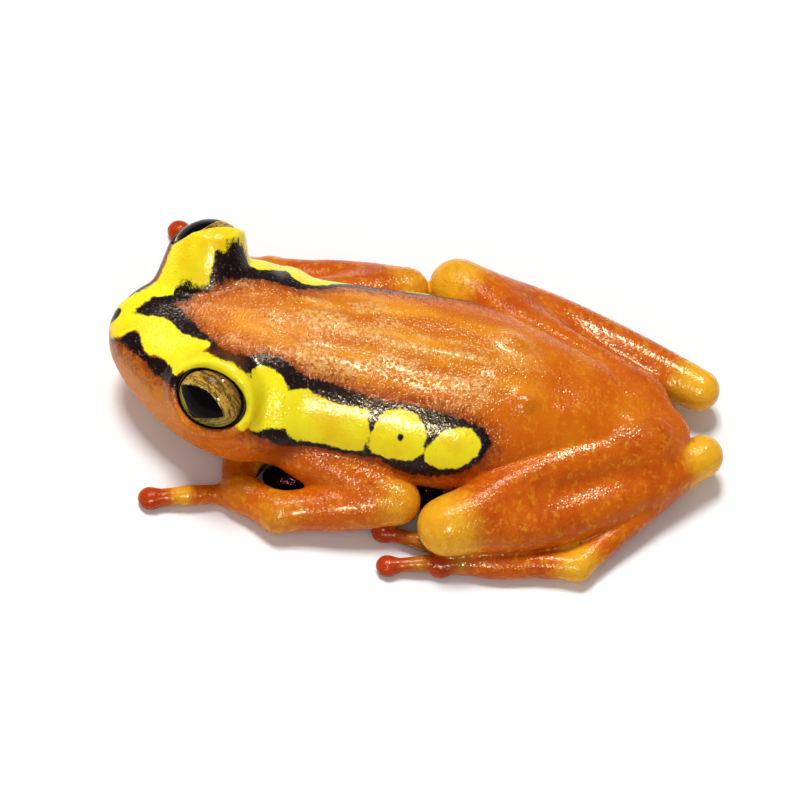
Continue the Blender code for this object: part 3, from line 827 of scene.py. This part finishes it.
def photo_rays(spots):
    """Start and directions, in millimetres, of the camera's rays through points of the enlargement."""
    pixels = np.array(ENLARGED_CORNER) + np.array(spots, dtype=float) / ENLARGED_TIMES - PHOTO_SIZE / 2
    right, up, back = np.array(camera_axes).T
    ways = (pixels[:, :1] * right - pixels[:, 1:] * up) * CAMERA_FRAME / (PHOTO_SIZE * CAMERA_DISTANCE) - back
    return np.array(camera_place) / MM, ways / np.linalg.norm(ways, axis=1)[:, None]


def seen(*spots):
    """Places on the body of points of the enlargement.

    Each ray is walked to its first step inside the body, and that step is halved down to the surface.
    """
    start, ways = photo_rays(spots)
    reach = np.linspace(*RAY_SPAN, RAY_STEPS)
    walked = start + ways[:, None] * reach[None, :, None]
    inside = body_field(walked.reshape(-1, 3)).reshape(len(spots), -1) < 0
    first = inside.argmax(axis=1)
    near, far = reach[np.maximum(first - 1, 0)], reach[first]
    for _ in range(RAY_HALVINGS):
        middle = (near + far) / 2
        hit = body_field(start + ways * middle[:, None]) < 0
        near, far = np.where(hit, near, middle), np.where(hit, middle, far)
    return list(zip(*unrolled(start + ways * far[:, None])))


YELLOW_LEFT = [
    (0.0, -30), (0.9, -9),
    *seen(
        (172, 490), (200, 500), (240, 505), (290, 507), (325, 530), (365, 572), (410, 590), (470, 605),
        (480, 627), (450, 648), (490, 660), (530, 680), (570, 692), (600, 712), (625, 737), (645, 750),
        (650, 715), (690, 705), (730, 715), (765, 740), (782, 772), (795, 808), (830, 795), (870, 800),
        (910, 820), (950, 840), (1000, 860), (1050, 865), (1115, 880), (1115, 960), (1108, 1000),
        (1090, 1040), (1060, 1046), (1010, 1035), (960, 1020), (910, 1010), (830, 1003), (800, 981),
        (785, 957), (760, 952), (700, 957), (650, 965),
    ),
    (7.0, 71), (6.6, 68), (5.4, 60), (4.3, 55), (3.9, 48),
    *seen(
        (370, 727), (340, 746), (320, 700), (300, 673), (265, 665), (235, 660), (215, 640), (205, 605),
        (198, 575), (175, 560), (150, 570), (125, 590), (100, 592),
    ),
    (0.13, 30), (0.0, 20),
]
YELLOW_RIGHT = [
    (0.0, 0), (0.9, -6),
    *seen(
        (172, 485), (210, 455), (250, 426), (290, 425), (330, 418), (345, 388), (370, 370), (400, 372),
        (440, 382), (475, 374), (500, 246), (540, 238), (558, 207), (600, 203),
    ),
    (6.1, -50), (6.5, -52),
    *seen((680, 319), (720, 318)),
    (7.9, -60), (8.2, -61),
    *seen((812, 350), (842, 372), (900, 382)),
    (10.2, -56), (10.8, -63), (11.6, -70), (12.8, -74), (13.2, -75), (12.6, -82), (11.2, -81),
    (9.7, -80.5), (9.1, -74), (8.0, -73.5), (7.1, -72), (6.6, -68), (5.2, -66), (4.0, -60), (3.2, -52),
    (2.9, -48), (2.5, -49), (2.1, -48), (1.75, -46), (1.5, -40), (1.2, -38), (0.9, -40), (0.4, -42),
    (0.0, -40),
]
SPOT_ONE = seen(
    (1160, 905), (1190, 885), (1240, 875), (1280, 885), (1310, 905), (1340, 950), (1345, 985), (1335, 1030),
    (1325, 1060), (1290, 1082), (1240, 1080), (1180, 1070), (1130, 1050), (1112, 1025), (1120, 990),
    (1135, 950),
)
SPOT_TWO = seen(
    (1345, 1030), (1375, 1000), (1420, 965), (1470, 950), (1520, 955), (1555, 985), (1565, 1020),
    (1550, 1060), (1510, 1095), (1460, 1115), (1400, 1118), (1350, 1095), (1335, 1065),
)
BLACK_LEFT = [
    *seen(
        (172, 487), (210, 460), (250, 432), (290, 434), (330, 452), (370, 487), (400, 518), (440, 561),
        (480, 592), (530, 640), (590, 660), (640, 668), (700, 652), (760, 672), (800, 702), (840, 735),
        (890, 755), (950, 765), (1010, 790), (1070, 815), (1130, 838), (1250, 857), (1370, 880),
        (1440, 902), (1510, 925), (1570, 950), (1602, 985), (1602, 1020), (1575, 1070), (1520, 1112),
        (1460, 1135), (1390, 1145), (1300, 1138), (1220, 1115), (1180, 1087), (1130, 1068), (1080, 1063),
        (1000, 1056), (940, 1042), (880, 1030), (820, 1025), (770, 1022), (720, 1005), (670, 982),
        (635, 968),
    ),
    (8.5, 70), (9.6, 60), (8.2, 50), (6.9, 47), (5.5, 38), (4.5, 30), (3.3, 20), (2.5, 3), (1.5, -1),
]
BLACK_RIGHT = [
    *seen((172, 487)),
    (1.9, -18),
    *seen(
        (330, 452), (380, 445), (430, 413), (480, 398), (510, 370), (560, 366), (600, 357), (640, 353),
        (700, 358), (760, 375), (830, 398), (900, 398),
    ),
    (10.4, -52), (10.8, -57.5), (11.6, -60), (13.0, -63), (14.0, -63.5), (15.2, -65), (16.2, -68),
    (17.5, -70), (18.5, -76), (18.9, -86), (18.6, -95), (17.6, -103), (15.4, -105), (13.9, -102),
    (12.8, -94), (12.6, -86), (10.2, -86), (9.0, -83), (7.4, -77), (8.8, -70), (9.4, -61), (8.4, -65),
    (7.6, -65), (6.8, -60), (6.0, -60), (5.4, -55), (4.8, -46), (4.3, -40), (3.4, -38), (2.4, -30),
    (1.4, -20),
]
CHEEK_LEFT = [
    (0.0, 27),
    *seen(
        (100, 592), (125, 590), (150, 568), (175, 558), (200, 573), (207, 605), (217, 640), (237, 662),
        (265, 667), (300, 674), (322, 702), (342, 751),
    ),
    (3.6, 50), (3.65, 57), (3.3, 58), (3.0, 58), (2.6, 58),
    *seen((248, 718), (222, 688), (190, 660), (160, 637), (130, 624), (103, 607)),
]


def mirrored(outline, push, drop):
    """The same outline on the right side, moved back in millimetres and down in degrees."""
    return [(station + push, -angle - drop) for station, angle in outline]


YELLOW_MARKS = (
    YELLOW_LEFT, YELLOW_RIGHT, SPOT_ONE, SPOT_TWO, mirrored(SPOT_ONE, 0.2, 16), mirrored(SPOT_TWO, 0.1, 16),
)
BLACK_MARKS = (BLACK_LEFT, BLACK_RIGHT, CHEEK_LEFT, mirrored(CHEEK_LEFT, 0.0, 9.0))
PALE_AND_SHEEN_MARKS = (
    # pale marks on the back's crests, partly the skin's own cream mottling and partly painted highlight:
    # station, angle, length and width
    (10.4, -14.0, 1.1, 0.7), (12.3, -5.0, 1.0, 0.5), (9.8, 24.0, 1.0, 0.9), (11.2, 30.0, 0.9, 0.6),
    (15.2, 2.0, 2.0, 0.35), (19.6, -12.0, 1.0, 0.7), (17.6, 26.0, 1.2, 0.5),
)
ROUND_MARKS = (
    # dot in the left spot, and painted shade of the right nostril's opening at the tip: point of the
    # enlargement and radius
    ((1242, 990), 0.16),
    ((105, 495), 0.22),
)


def shape_distance(points, corners):
    """Distance from a closed outline in the plane, negative inside it."""
    corners = np.array(corners)
    best = np.full(len(points), FAR_OFF)
    within = np.zeros(len(points), dtype=bool)
    for a, b in zip(corners, np.roll(corners, -1, axis=0)):
        way = b - a
        t = np.clip((points - a) @ way / max(way @ way, 1e-9), 0.0, 1.0)
        best = np.minimum(best, np.hypot(*(points - a - t[:, None] * way).T))
        spans = (a[1] > points[:, 1]) != (b[1] > points[:, 1])
        rise = b[1] - a[1] if b[1] != a[1] else 1e-9
        within ^= spans & (points[:, 0] < (b[0] - a[0]) * (points[:, 1] - a[1]) / rise + a[0])
    return np.where(within, -best, best)


def outline_distance(station, angle, outline):
    """Distance in millimetres from an outline on the body, negative inside it."""
    corners = np.array(outline, dtype=float)
    corners[:, 1] *= girth_scale(corners[:, 0])
    return shape_distance(np.column_stack([station, angle * girth_scale(station)]), corners)


# where the skin counts as limb, how far marks are kept off it, and where the mouth's line ends
LIMB_FADE = 0.35
LIMB_PUSH = 2.0
MOUTH_LINE_FADE = 0.6

station, angle = unrolled(skin_verts)
from_top = np.abs(angle)
height_above = skin_verts[:, 2]
on_limb = rising(body_field(skin_verts), 0.0, LIMB_FADE)
off_limb = LIMB_PUSH * on_limb
for name, outlines in (("yellow_edge", YELLOW_MARKS), ("black_edge", BLACK_MARKS)):
    edge = np.min([outline_distance(station, angle, outline) for outline in outlines], axis=0)
    store(skin, name, edge + off_limb)
dots = np.full(len(station), FAR_OFF)
for spot, radius in ROUND_MARKS:
    at_station, at_angle = seen(spot)[0]
    apart = np.hypot(station - at_station, (angle - at_angle) * girth_scale(station))
    dots = np.minimum(dots, apart - radius)
store(skin, "dot_edge", dots + off_limb)
store(skin, "limb_share", on_limb)
eye_edge = np.full(len(station), FAR_OFF)
fold_shade_edge = np.full(len(station), FAR_OFF)
for side in (1, -1):
    from_ball = oval((skin_verts - eye_centre(side)) @ eye_axes(side).T, np.zeros(3), EYE_RADII)
    eye_edge = np.minimum(eye_edge, np.abs(from_ball))
    for (x, y, z), radii in FOLDS:
        fold_shade_edge = np.minimum(fold_shade_edge, np.abs(oval(skin_verts, place((side * x, y, z)), radii)))
store(skin, "eye_edge", eye_edge)
store(skin, "fold_shade_edge", fold_shade_edge)
from_line = np.abs(height_above - mouth_height(np.clip(station, 0.0, BODY_LENGTH)))
behind_mouth = LIMB_PUSH * rising(station, MOUTH_CORNER, MOUTH_LINE_FADE)
store(skin, "mouth_edge", from_line + behind_mouth + off_limb)

# Shares of the colours: where each rises or falls, and over how many millimetres or degrees
BACK_SIDE = (62.0, 24.0)
BACK_REAR = (22.0, 4.0)
BELLY_TOP = (1.6, 1.2)
BELLY_SIDE = (95.0, 25.0)
GRAIN_REAR = (21.0, 4.0)
GRAIN_ON_LIMB = 0.25
CHEEK_REAR = (5.5, 3.0)
CHEEK_SIDE = (40.0, 20.0)
CHEEK_MOST = 0.8
# painted shade on the flank under the black band, above the upper arm: its reach along the body, its middle
# station, the angles where it starts and ends, and its most share
BAND_SHADE_AROUND = (3.2, 1.6)
BAND_SHADE_STATION = 10.5
BAND_SHADE_TOP = (80.0, 6.0)
BAND_SHADE_BOTTOM = (112.0, 10.0)
BAND_SHADE_MOST = 0.8
JOINT_TINTS = (
    # limb, joint, radius of its light patch and share of the light colour
    (ARMS, "elbow", 1.7, 0.7), (ARMS, "wrist", 1.4, 0.6), (ARMS, "palm", 1.2, 0.55),
    (LEGS, "knee", 1.75, 1.0), (LEGS, "heel", 1.7, 1.0), (LEGS, "ankle", 1.3, 0.8),
)
JOINT_EDGE = 1.6
DIGIT_ALONG = 0.65
DIGIT_HEIGHT = 0.7
DIGIT_AROUND = (1.125, 0.75)
DIGIT_MOST = 0.75
DISC_AROUND = (1.1, 0.55)
DISC_TOP = (1.4, 0.3)
# painted shade on the foot under the knee: shift from the sole, reach, height where it fades, edge, fall and
# most share
FOOT_SHADE_SHIFT = (-0.5, -2.6)
FOOT_SHADE_REACH = (1.6, 1.7, 1.0)
FOOT_SHADE_TOP = (1.5, 0.4)
FOOT_SHADE_EDGE = 2.2
FOOT_SHADE_FALL = 1.4
FOOT_SHADE_MOST = 0.75
PALE_AND_SHEEN_GAIN = 1.2


def away_from(point):
    """Distance of the skin's points from a point given as side, station and height."""
    return np.linalg.norm(skin_verts - place(point), axis=1)


joint_share, disc_share, foot_shade_share = np.zeros((3, len(station)))
for side in (1, -1):
    arm, leg = ARMS[side], LEGS[side]
    for limb, joint, size, share in JOINT_TINTS:
        patch = share * falling(away_from(limb[side][joint]), JOINT_EDGE * size, size)
        joint_share = np.maximum(joint_share, patch)
    for base, tips in ((arm["palm"], arm["fingers"]), (leg["sole"], leg["toes"])):
        for tip in tips:
            middle = [DIGIT_ALONG * tip[n] + (1.0 - DIGIT_ALONG) * base[n] for n in (0, 1)]
            patch = DIGIT_MOST * falling(away_from((*middle, DIGIT_HEIGHT)), *DIGIT_AROUND)
            joint_share = np.maximum(joint_share, patch)
            disc_share = np.maximum(disc_share, falling(away_from((*tip, DISC_HEIGHT)), *DISC_AROUND))
    x, y, z = leg["sole"]
    off = (skin_verts - place((x + side * FOOT_SHADE_SHIFT[0], y + FOOT_SHADE_SHIFT[1], z))) / FOOT_SHADE_REACH
    foot_shade_share = np.maximum(foot_shade_share, held(FOOT_SHADE_EDGE - FOOT_SHADE_FALL * np.linalg.norm(off, axis=1)))
pale_and_sheen = np.zeros(len(station))
for at, turn, long, wide in PALE_AND_SHEEN_MARKS:
    across = (angle - turn) * girth_scale(station) / wide
    pale_and_sheen += np.exp(-((station - at) / long) ** 2 - across**2)
band_shade = rising(from_top, *BAND_SHADE_TOP) * falling(from_top, *BAND_SHADE_BOTTOM)
on_body = 1.0 - on_limb
SHARES = {
    "back_share": falling(from_top, *BACK_SIDE) * falling(station, *BACK_REAR) * on_body,
    "belly_share": falling(height_above, *BELLY_TOP) * rising(from_top, *BELLY_SIDE) * on_body,
    "cheek_share": CHEEK_MOST * falling(station, *CHEEK_REAR) * rising(from_top, *CHEEK_SIDE),
    "crest_pale_and_sheen_share": held(PALE_AND_SHEEN_GAIN * pale_and_sheen),
    "band_shade_share": BAND_SHADE_MOST * band_shade * falling(np.abs(station - BAND_SHADE_STATION), *BAND_SHADE_AROUND),
    "disc_share": disc_share * falling(height_above, *DISC_TOP),
    "grain_share": falling(station, *GRAIN_REAR) * (1.0 - (1.0 - GRAIN_ON_LIMB) * on_limb),
    "joint_share": joint_share * on_limb,
    "foot_shade_share": FOOT_SHADE_MOST * foot_shade_share * falling(height_above, *FOOT_SHADE_TOP),
}
for name, share in SHARES.items():
    store(skin, name, share)

# Skin colours and finish
BACK_COLOUR = (0.62, 0.15, 0.005)
BACK_BRIGHT = (0.90, 0.34, 0.010)
# pale cream of the back's crests, partly the skin's own mottling and partly painted highlight
BACK_PALE_AND_SHEEN = (0.86, 0.58, 0.20)
BACK_FRINGE = (0.26, 0.035, 0.004)
FLANK_COLOUR = (0.62, 0.115, 0.002)
FLANK_BRIGHT = (0.72, 0.19, 0.004)
# painted shade, used under the black band and along the crease of the mouth
FLANK_PAINTED_SHADE = (0.22, 0.018, 0.001)
CHEEK_COLOUR = (0.66, 0.21, 0.004)
LIMB_COLOUR = (0.60, 0.110, 0.003)
LIMB_DARK = (0.46, 0.055, 0.002)
JOINT_COLOUR = (0.86, 0.42, 0.018)
# painted shade of the foot under the knee
FOOT_SHADE_COLOUR = (0.30, 0.045, 0.004)
DISC_COLOUR = (0.44, 0.04, 0.003)
BELLY_COLOUR = (0.80, 0.50, 0.30)
YELLOW_COLOUR = (0.97, 0.82, 0.015)
YELLOW_DEEP = (0.88, 0.52, 0.005)
YELLOW_FRECKLE = (0.70, 0.33, 0.006)
BLACK_COLOUR = (0.010, 0.003, 0.004)
# painted glints: pale mauve specks on the black band
BAND_GLINT_COLOUR = (0.42, 0.30, 0.36)
SKIN_ROUGHNESS = (0.16, 0.28)
SKIN_SHINE = 0.19
SKIN_TINT = (1.0, 0.86, 0.66, 1.0)
WRINKLE_HEIGHT = 0.00009
GRAIN_HEIGHT = 0.00003
GRAIN_CELLS = 6200.0
FOLD_SHADE_SPAN = (0.36, 0.12)
NOISES = {
    # features per metre, detail, roughness, distortion and stretch along each axis
    "flecks": (2600.0, 5.0, 0.7),
    "fine": (7000.0, 3.0, 0.6),
    "broad": (420.0, 3.0, 0.5),
    "streak": (900.0, 4.0, 0.6, 0.4, (1.0, 0.35, 1.0)),
    "dust_and_sheen": (5200.0, 4.0, 0.75),
    "bands": (560.0, 3.0, 0.5, 0.3, (1.0, 0.28, 1.0)),
    "flank": (3000.0, 5.0, 0.7),
    "limb": (700.0, 4.0, 0.6),
    "band_glints": (6000.0, 4.0, 0.6),
    "wrinkles": (1500.0, 3.0, 0.6),
}


class Paint:
    """A material under construction, with short calls for the nodes it needs."""

    def __init__(self, name):
        self.made = bpy.data.materials.new(name)
        self.made.use_nodes = True
        self.tree = self.made.node_tree
        self.shader = self.tree.nodes["Principled BSDF"]
        self.coords = self.tree.nodes.new("ShaderNodeTexCoord").outputs["Object"]

    def wire(self, source, socket):
        """Sets a socket from another socket, a colour or a number."""
        if hasattr(source, "links"):
            self.tree.links.new(source, socket)
        elif isinstance(source, tuple):
            socket.default_value = (*source, 1.0) if len(source) == 3 else source
        else:
            socket.default_value = source

    def attribute(self, name):
        """One stored number of the mesh."""
        node = self.tree.nodes.new("ShaderNodeAttribute")
        node.attribute_name = name
        return node.outputs["Fac"]

    def noise(self, scale, detail=4.0, roughness=0.55, distortion=0.0, stretch=None, source=None):
        """Noise of so many features per metre, or per unit of a source of its own."""
        node = self.tree.nodes.new("ShaderNodeTexNoise")
        node.inputs["Scale"].default_value = scale
        node.inputs["Detail"].default_value = detail
        node.inputs["Roughness"].default_value = roughness
        node.inputs["Distortion"].default_value = distortion
        source = source or self.coords
        if stretch:
            mapping = self.tree.nodes.new("ShaderNodeMapping")
            mapping.inputs["Scale"].default_value = stretch
            self.tree.links.new(self.coords, mapping.inputs["Vector"])
            source = mapping.outputs["Vector"]
        self.tree.links.new(source, node.inputs["Vector"])
        return node.outputs["Fac"]

    def cells(self, scale):
        """Distance to the nearest of scattered points, so many per metre along each way."""
        node = self.tree.nodes.new("ShaderNodeTexVoronoi")
        node.inputs["Scale"].default_value = scale
        self.tree.links.new(self.coords, node.inputs["Vector"])
        return node.outputs["Distance"]

    def sum(self, a, b, operation="ADD", third=None):
        """Arithmetic on two or three numbers."""
        node = self.tree.nodes.new("ShaderNodeMath")
        node.operation = operation
        self.wire(a, node.inputs[0])
        self.wire(b, node.inputs[1])
        if third is not None:
            self.wire(third, node.inputs[2])
        return node.outputs[0]

    def ramp(self, value, low, high, out_low=0.0, out_high=1.0, smooth=True):
        """Value mapped from one range to another and held at its ends."""
        node = self.tree.nodes.new("ShaderNodeMapRange")
        node.interpolation_type = "SMOOTHSTEP" if smooth else "LINEAR"
        ends = {"From Min": low, "From Max": high, "To Min": out_low, "To Max": out_high}
        for name, number in ends.items():
            node.inputs[name].default_value = number
        self.wire(value, node.inputs["Value"])
        return node.outputs["Result"]

    def blend(self, share, under, over):
        """Colour under, covered by colour over as far as the share says."""
        node = self.tree.nodes.new("ShaderNodeMix")
        node.data_type = "RGBA"
        self.wire(share, node.inputs["Factor"])
        self.wire(under, node.inputs[6])
        self.wire(over, node.inputs[7])
        return node.outputs[2]

    def bump(self, height, distance, strength=1.0, normal=None):
        """Normal from a height in metres times the height value."""
        node = self.tree.nodes.new("ShaderNodeBump")
        node.inputs["Strength"].default_value = strength
        node.inputs["Distance"].default_value = distance
        self.wire(height, node.inputs["Height"])
        if normal is not None:
            self.tree.links.new(normal, node.inputs["Normal"])
        return node.outputs["Normal"]


paint = Paint("frog_skin_paint")
noise = {name: paint.noise(*settings) for name, settings in NOISES.items()}
shares = {name: paint.attribute(name) for name in SHARES}
ragged = paint.sum(noise["flecks"], 0.5, "SUBTRACT")

back = paint.blend(paint.ramp(noise["bands"], 0.47, 0.70), BACK_COLOUR, BACK_BRIGHT)
# pale mottling on the back's crests, partly painted highlight
pale_and_sheen = paint.sum(paint.ramp(noise["streak"], 0.50, 0.66), shares["crest_pale_and_sheen_share"], "ADD")
pale_and_sheen = paint.sum(paint.ramp(pale_and_sheen, 0.0, 1.0), paint.ramp(noise["dust_and_sheen"], 0.42, 0.58), "MULTIPLY")
back = paint.blend(paint.sum(pale_and_sheen, 0.62, "MULTIPLY"), back, BACK_PALE_AND_SHEEN)
flank = paint.blend(paint.ramp(noise["broad"], 0.4, 0.65, 0.0, 0.7), FLANK_COLOUR, FLANK_BRIGHT)
flank = paint.blend(paint.ramp(noise["flank"], 0.52, 0.68, 0.0, 0.35), flank, JOINT_COLOUR)
flank = paint.blend(shares["cheek_share"], flank, CHEEK_COLOUR)
# painted shade on the flank under the black band
flank = paint.blend(shares["band_shade_share"], flank, FLANK_PAINTED_SHADE)
colour = paint.blend(shares["back_share"], flank, back)
limb = paint.blend(paint.ramp(noise["limb"], 0.42, 0.68, 0.0, 0.75), LIMB_COLOUR, LIMB_DARK)
limb = paint.blend(paint.ramp(noise["flecks"], 0.50, 0.68, 0.0, 0.40), limb, JOINT_COLOUR)
colour = paint.blend(paint.attribute("limb_share"), colour, limb)
joint = paint.ramp(paint.sum(shares["joint_share"], paint.sum(ragged, 0.5, "MULTIPLY")), 0.25, 0.95)
colour = paint.blend(joint, colour, JOINT_COLOUR)
# painted shade on the foot under the knee
colour = paint.blend(shares["foot_shade_share"], colour, FOOT_SHADE_COLOUR)
colour = paint.blend(shares["disc_share"], colour, DISC_COLOUR)
colour = paint.blend(shares["belly_share"], colour, BELLY_COLOUR)

fringe = paint.sum(ragged, 2.2, "MULTIPLY_ADD", paint.attribute("black_edge"))
fringe = paint.ramp(fringe, 0.95, -0.1, 0.0, 0.9)
colour = paint.blend(fringe, colour, BACK_FRINGE)
black_edge = paint.sum(ragged, 0.55, "MULTIPLY_ADD", paint.attribute("black_edge"))
black_share = paint.ramp(black_edge, 0.10, -0.06)
# painted glints speckle the black band
band_glints = paint.ramp(noise["band_glints"], 0.58, 0.70)
glinting_black = paint.blend(paint.sum(band_glints, 0.28, "MULTIPLY"), BLACK_COLOUR, BAND_GLINT_COLOUR)
colour = paint.blend(black_share, colour, glinting_black)

yellow_edge = paint.sum(ragged, 0.42, "MULTIPLY_ADD", paint.attribute("yellow_edge"))
yellow_share = paint.ramp(yellow_edge, 0.05, -0.04)
yellow_tone = paint.blend(paint.ramp(noise["broad"], 0.45, 0.75, 0.0, 0.8), YELLOW_COLOUR, YELLOW_DEEP)
yellow_tone = paint.blend(paint.ramp(noise["fine"], 0.62, 0.72, 0.0, 0.6), yellow_tone, YELLOW_FRECKLE)
colour = paint.blend(yellow_share, colour, yellow_tone)
# black dot of the left spot, and painted shade of the right nostril's opening
dot_edge = paint.sum(ragged, 0.2, "MULTIPLY_ADD", paint.attribute("dot_edge"))
colour = paint.blend(paint.ramp(dot_edge, 0.04, -0.04), colour, BLACK_COLOUR)
colour = paint.blend(paint.ramp(paint.attribute("eye_edge"), 0.17, 0.07), colour, BLACK_COLOUR)
# painted shade along the crease of the mouth
colour = paint.blend(paint.ramp(paint.attribute("mouth_edge"), 0.11, 0.02, 0.0, 0.75), colour, FLANK_PAINTED_SHADE)
# painted shade: the folds beside the upper arm and the knee are painted black
painted_fold_shade = paint.ramp(paint.attribute("fold_shade_edge"), *FOLD_SHADE_SPAN)
colour = paint.blend(painted_fold_shade, colour, BLACK_COLOUR)
paint.wire(colour, paint.shader.inputs["Base Color"])

grain = paint.ramp(paint.cells(GRAIN_CELLS), 0.05, 0.62, 1.0, 0.0)
grain = paint.sum(grain, paint.sum(noise["fine"], 0.5, "MULTIPLY"))
grain_size = paint.ramp(shares["grain_share"], 0.0, 1.0, 0.45, 1.0)
grain_size = paint.sum(grain_size, paint.ramp(yellow_share, 0.0, 1.0, 1.0, 0.6), "MULTIPLY")
grain_size = paint.sum(grain_size, paint.ramp(black_share, 0.0, 1.0, 1.0, 0.25), "MULTIPLY")
height = paint.sum(grain, grain_size, "MULTIPLY")
wrinkles = paint.bump(noise["wrinkles"], WRINKLE_HEIGHT, 0.35)
paint.wire(paint.bump(height, GRAIN_HEIGHT, 0.8, wrinkles), paint.shader.inputs["Normal"])
paint.wire(paint.ramp(noise["fine"], 0.3, 0.7, *SKIN_ROUGHNESS), paint.shader.inputs["Roughness"])
# the painted fold shade is also made metallic, so that the black folds barely reflect
paint.wire(painted_fold_shade, paint.shader.inputs["Metallic"])
paint.shader.inputs["Specular IOR Level"].default_value = SKIN_SHINE
paint.shader.inputs["Specular Tint"].default_value = SKIN_TINT
skin.data.materials.append(paint.made)

FLESH = ["head", "torso"]
for parts in (("upper_arm", "forearm", "hand"), ("thigh", "shank", "tarsus", "foot")):
    FLESH += [f"{part}_{side}" for side in ("left", "right") for part in parts]
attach(skin, "root")
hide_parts(*FLESH)


# Eyes
# Each eye is an oval ball under the lids, with a golden iris, a black diamond pupil that lies
# along the lids, and a glossy wet front.


EYE_SEGMENTS = 128
EYE_RINGS = 64


def eye_ball(name, side):
    """Oval ball in the eye's own axes: longitude round the way that it looks, latitude from its front."""
    lat = np.linspace(0.0, math.pi, EYE_RINGS + 1)
    lon = np.linspace(0.0, 2 * math.pi, EYE_SEGMENTS, endpoint=False)
    la, lo = np.meshgrid(lat[1:-1], lon, indexing="ij")
    ring = np.stack([np.sin(la) * np.cos(lo), np.sin(la) * np.sin(lo), np.cos(la)], axis=-1).reshape(-1, 3)
    unit = np.concatenate([ring, [[0.0, 0.0, 1.0], [0.0, 0.0, -1.0]]])
    verts = (unit * EYE_RADII) @ eye_axes(side) + eye_centre(side)
    one = np.arange(EYE_SEGMENTS)
    two = (one + 1) % EYE_SEGMENTS
    faces = []
    for first in range(0, len(ring) - EYE_SEGMENTS, EYE_SEGMENTS):
        a, b = one + first, two + first
        faces += np.stack([a, a + EYE_SEGMENTS, b + EYE_SEGMENTS, b], axis=1).tolist()
    last = len(ring) - EYE_SEGMENTS
    faces += np.stack([one, two, np.full(EYE_SEGMENTS, len(ring))], axis=1).tolist()
    faces += np.stack([last + two, last + one, np.full(EYE_SEGMENTS, len(ring) + 1)], axis=1).tolist()
    return mesh_piece(name, verts, faces), unit


IRIS_GOLD = (0.60, 0.34, 0.055)
IRIS_BROWN = (0.060, 0.024, 0.006)
IRIS_OLIVE = (0.30, 0.26, 0.035)
IRIS_EDGE = (0.72, 0.50, 0.12)
RIM_GREY = (0.16, 0.13, 0.14)
PUPIL_COLOUR = (0.003, 0.002, 0.002)
EYE_ROUGHNESS = 0.08
EYE_SHINE = 0.05
EYE_FRONT = (0.56, 0.2)
RAY_STRETCH = (1.4, 9.0)
OLIVE_START = 0.1
OLIVE_WAY = (-0.35, -1.4)
PUPIL_OUTLINE = {
    # along the lids and across them in millimetres, seen from outside
    1: (
        (-1.56, -0.02), (-1.3, 0.2), (-1.05, 0.36), (-0.62, 0.52), (-0.2, 0.55), (0.15, 0.47), (0.5, 0.27),
        (0.84, -0.02), (1.0, -0.3), (0.8, -0.52), (0.46, -0.68), (0.0, -0.95), (-0.38, -1.18), (-0.6, -1.0),
        (-0.81, -0.72), (-1.05, -0.48), (-1.33, -0.26),
    ),
    -1: (
        (1.45, 0.62), (1.2, 0.86), (0.8, 0.98), (0.2, 0.93), (-0.3, 0.68), (-0.6, 0.42), (-1.05, 0.1),
        (-1.3, -0.2), (-1.1, -0.5), (-0.5, -0.9), (0.1, -1.05), (0.8, -0.75), (1.3, -0.1), (1.5, 0.3),
    ),
}


iris = Paint("frog_eye_paint")
streaks = iris.noise(2600.0, 5.0, 0.75, 1.0)
rays = iris.tree.nodes.new("ShaderNodeAttribute")
rays.attribute_name = "ray"
spokes = iris.noise(1.0, 4.0, 0.65, 0.4, None, rays.outputs["Vector"])
outward = iris.sum(streaks, 0.9, "MULTIPLY_ADD", iris.attribute("pupil_edge"))
gold = iris.blend(iris.ramp(outward, 0.70, 1.5, 0.0, 0.75), IRIS_GOLD, IRIS_BROWN)
spokes = iris.sum(iris.sum(spokes, 0.5, "SUBTRACT"), 1.3, "MULTIPLY")
grooves = iris.sum(iris.noise(4200.0, 4.0, 0.8, 2.5), spokes, "ADD")
grooves = iris.ramp(grooves, 0.46, 0.56, 0.0, 0.85)
edge = iris.ramp(iris.sum(streaks, 0.10, "MULTIPLY_ADD", iris.attribute("pupil_edge")), 0.14, 0.09)
gold = iris.blend(edge, gold, IRIS_EDGE)
gold = iris.blend(iris.attribute("olive_share"), gold, IRIS_OLIVE)
gold = iris.blend(grooves, gold, IRIS_BROWN)
gold = iris.blend(iris.ramp(iris.attribute("rim_share"), 0.08, 0.42), gold, PUPIL_COLOUR)
gold = iris.blend(iris.ramp(iris.attribute("rim_share"), 0.8, 0.95), gold, RIM_GREY)
gold = iris.blend(iris.ramp(iris.attribute("pupil_edge"), 0.02, -0.02), gold, PUPIL_COLOUR)
iris.wire(gold, iris.shader.inputs["Base Color"])
iris.shader.inputs["Roughness"].default_value = EYE_ROUGHNESS
iris.shader.inputs["Specular IOR Level"].default_value = EYE_SHINE

for side, node in ((1, "eye_left"), (-1, "eye_right")):
    eye, unit = eye_ball("frog_" + node, side)
    flat = unit[:, :2] * EYE_RADII[:2]
    pupil = shape_distance(flat, PUPIL_OUTLINE[side])
    away = flat / np.maximum(np.linalg.norm(flat, axis=1), 1e-6)[:, None]
    ray = eye.data.attributes.new("ray", "FLOAT_VECTOR", "POINT")
    along_rays = np.column_stack([RAY_STRETCH[0] * away, RAY_STRETCH[1] * pupil])
    ray.data.foreach_set("vector", along_rays.astype(np.float32).ravel())
    store(eye, "pupil_edge", np.where(unit[:, 2] > 0, pupil, 2.0))
    store(eye, "rim_share", falling(unit[:, 2], *EYE_FRONT))
    store(eye, "olive_share", held(OLIVE_START + flat @ OLIVE_WAY))
    eye.data.materials.append(iris.made)
    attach(eye, "root")
    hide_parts(node)
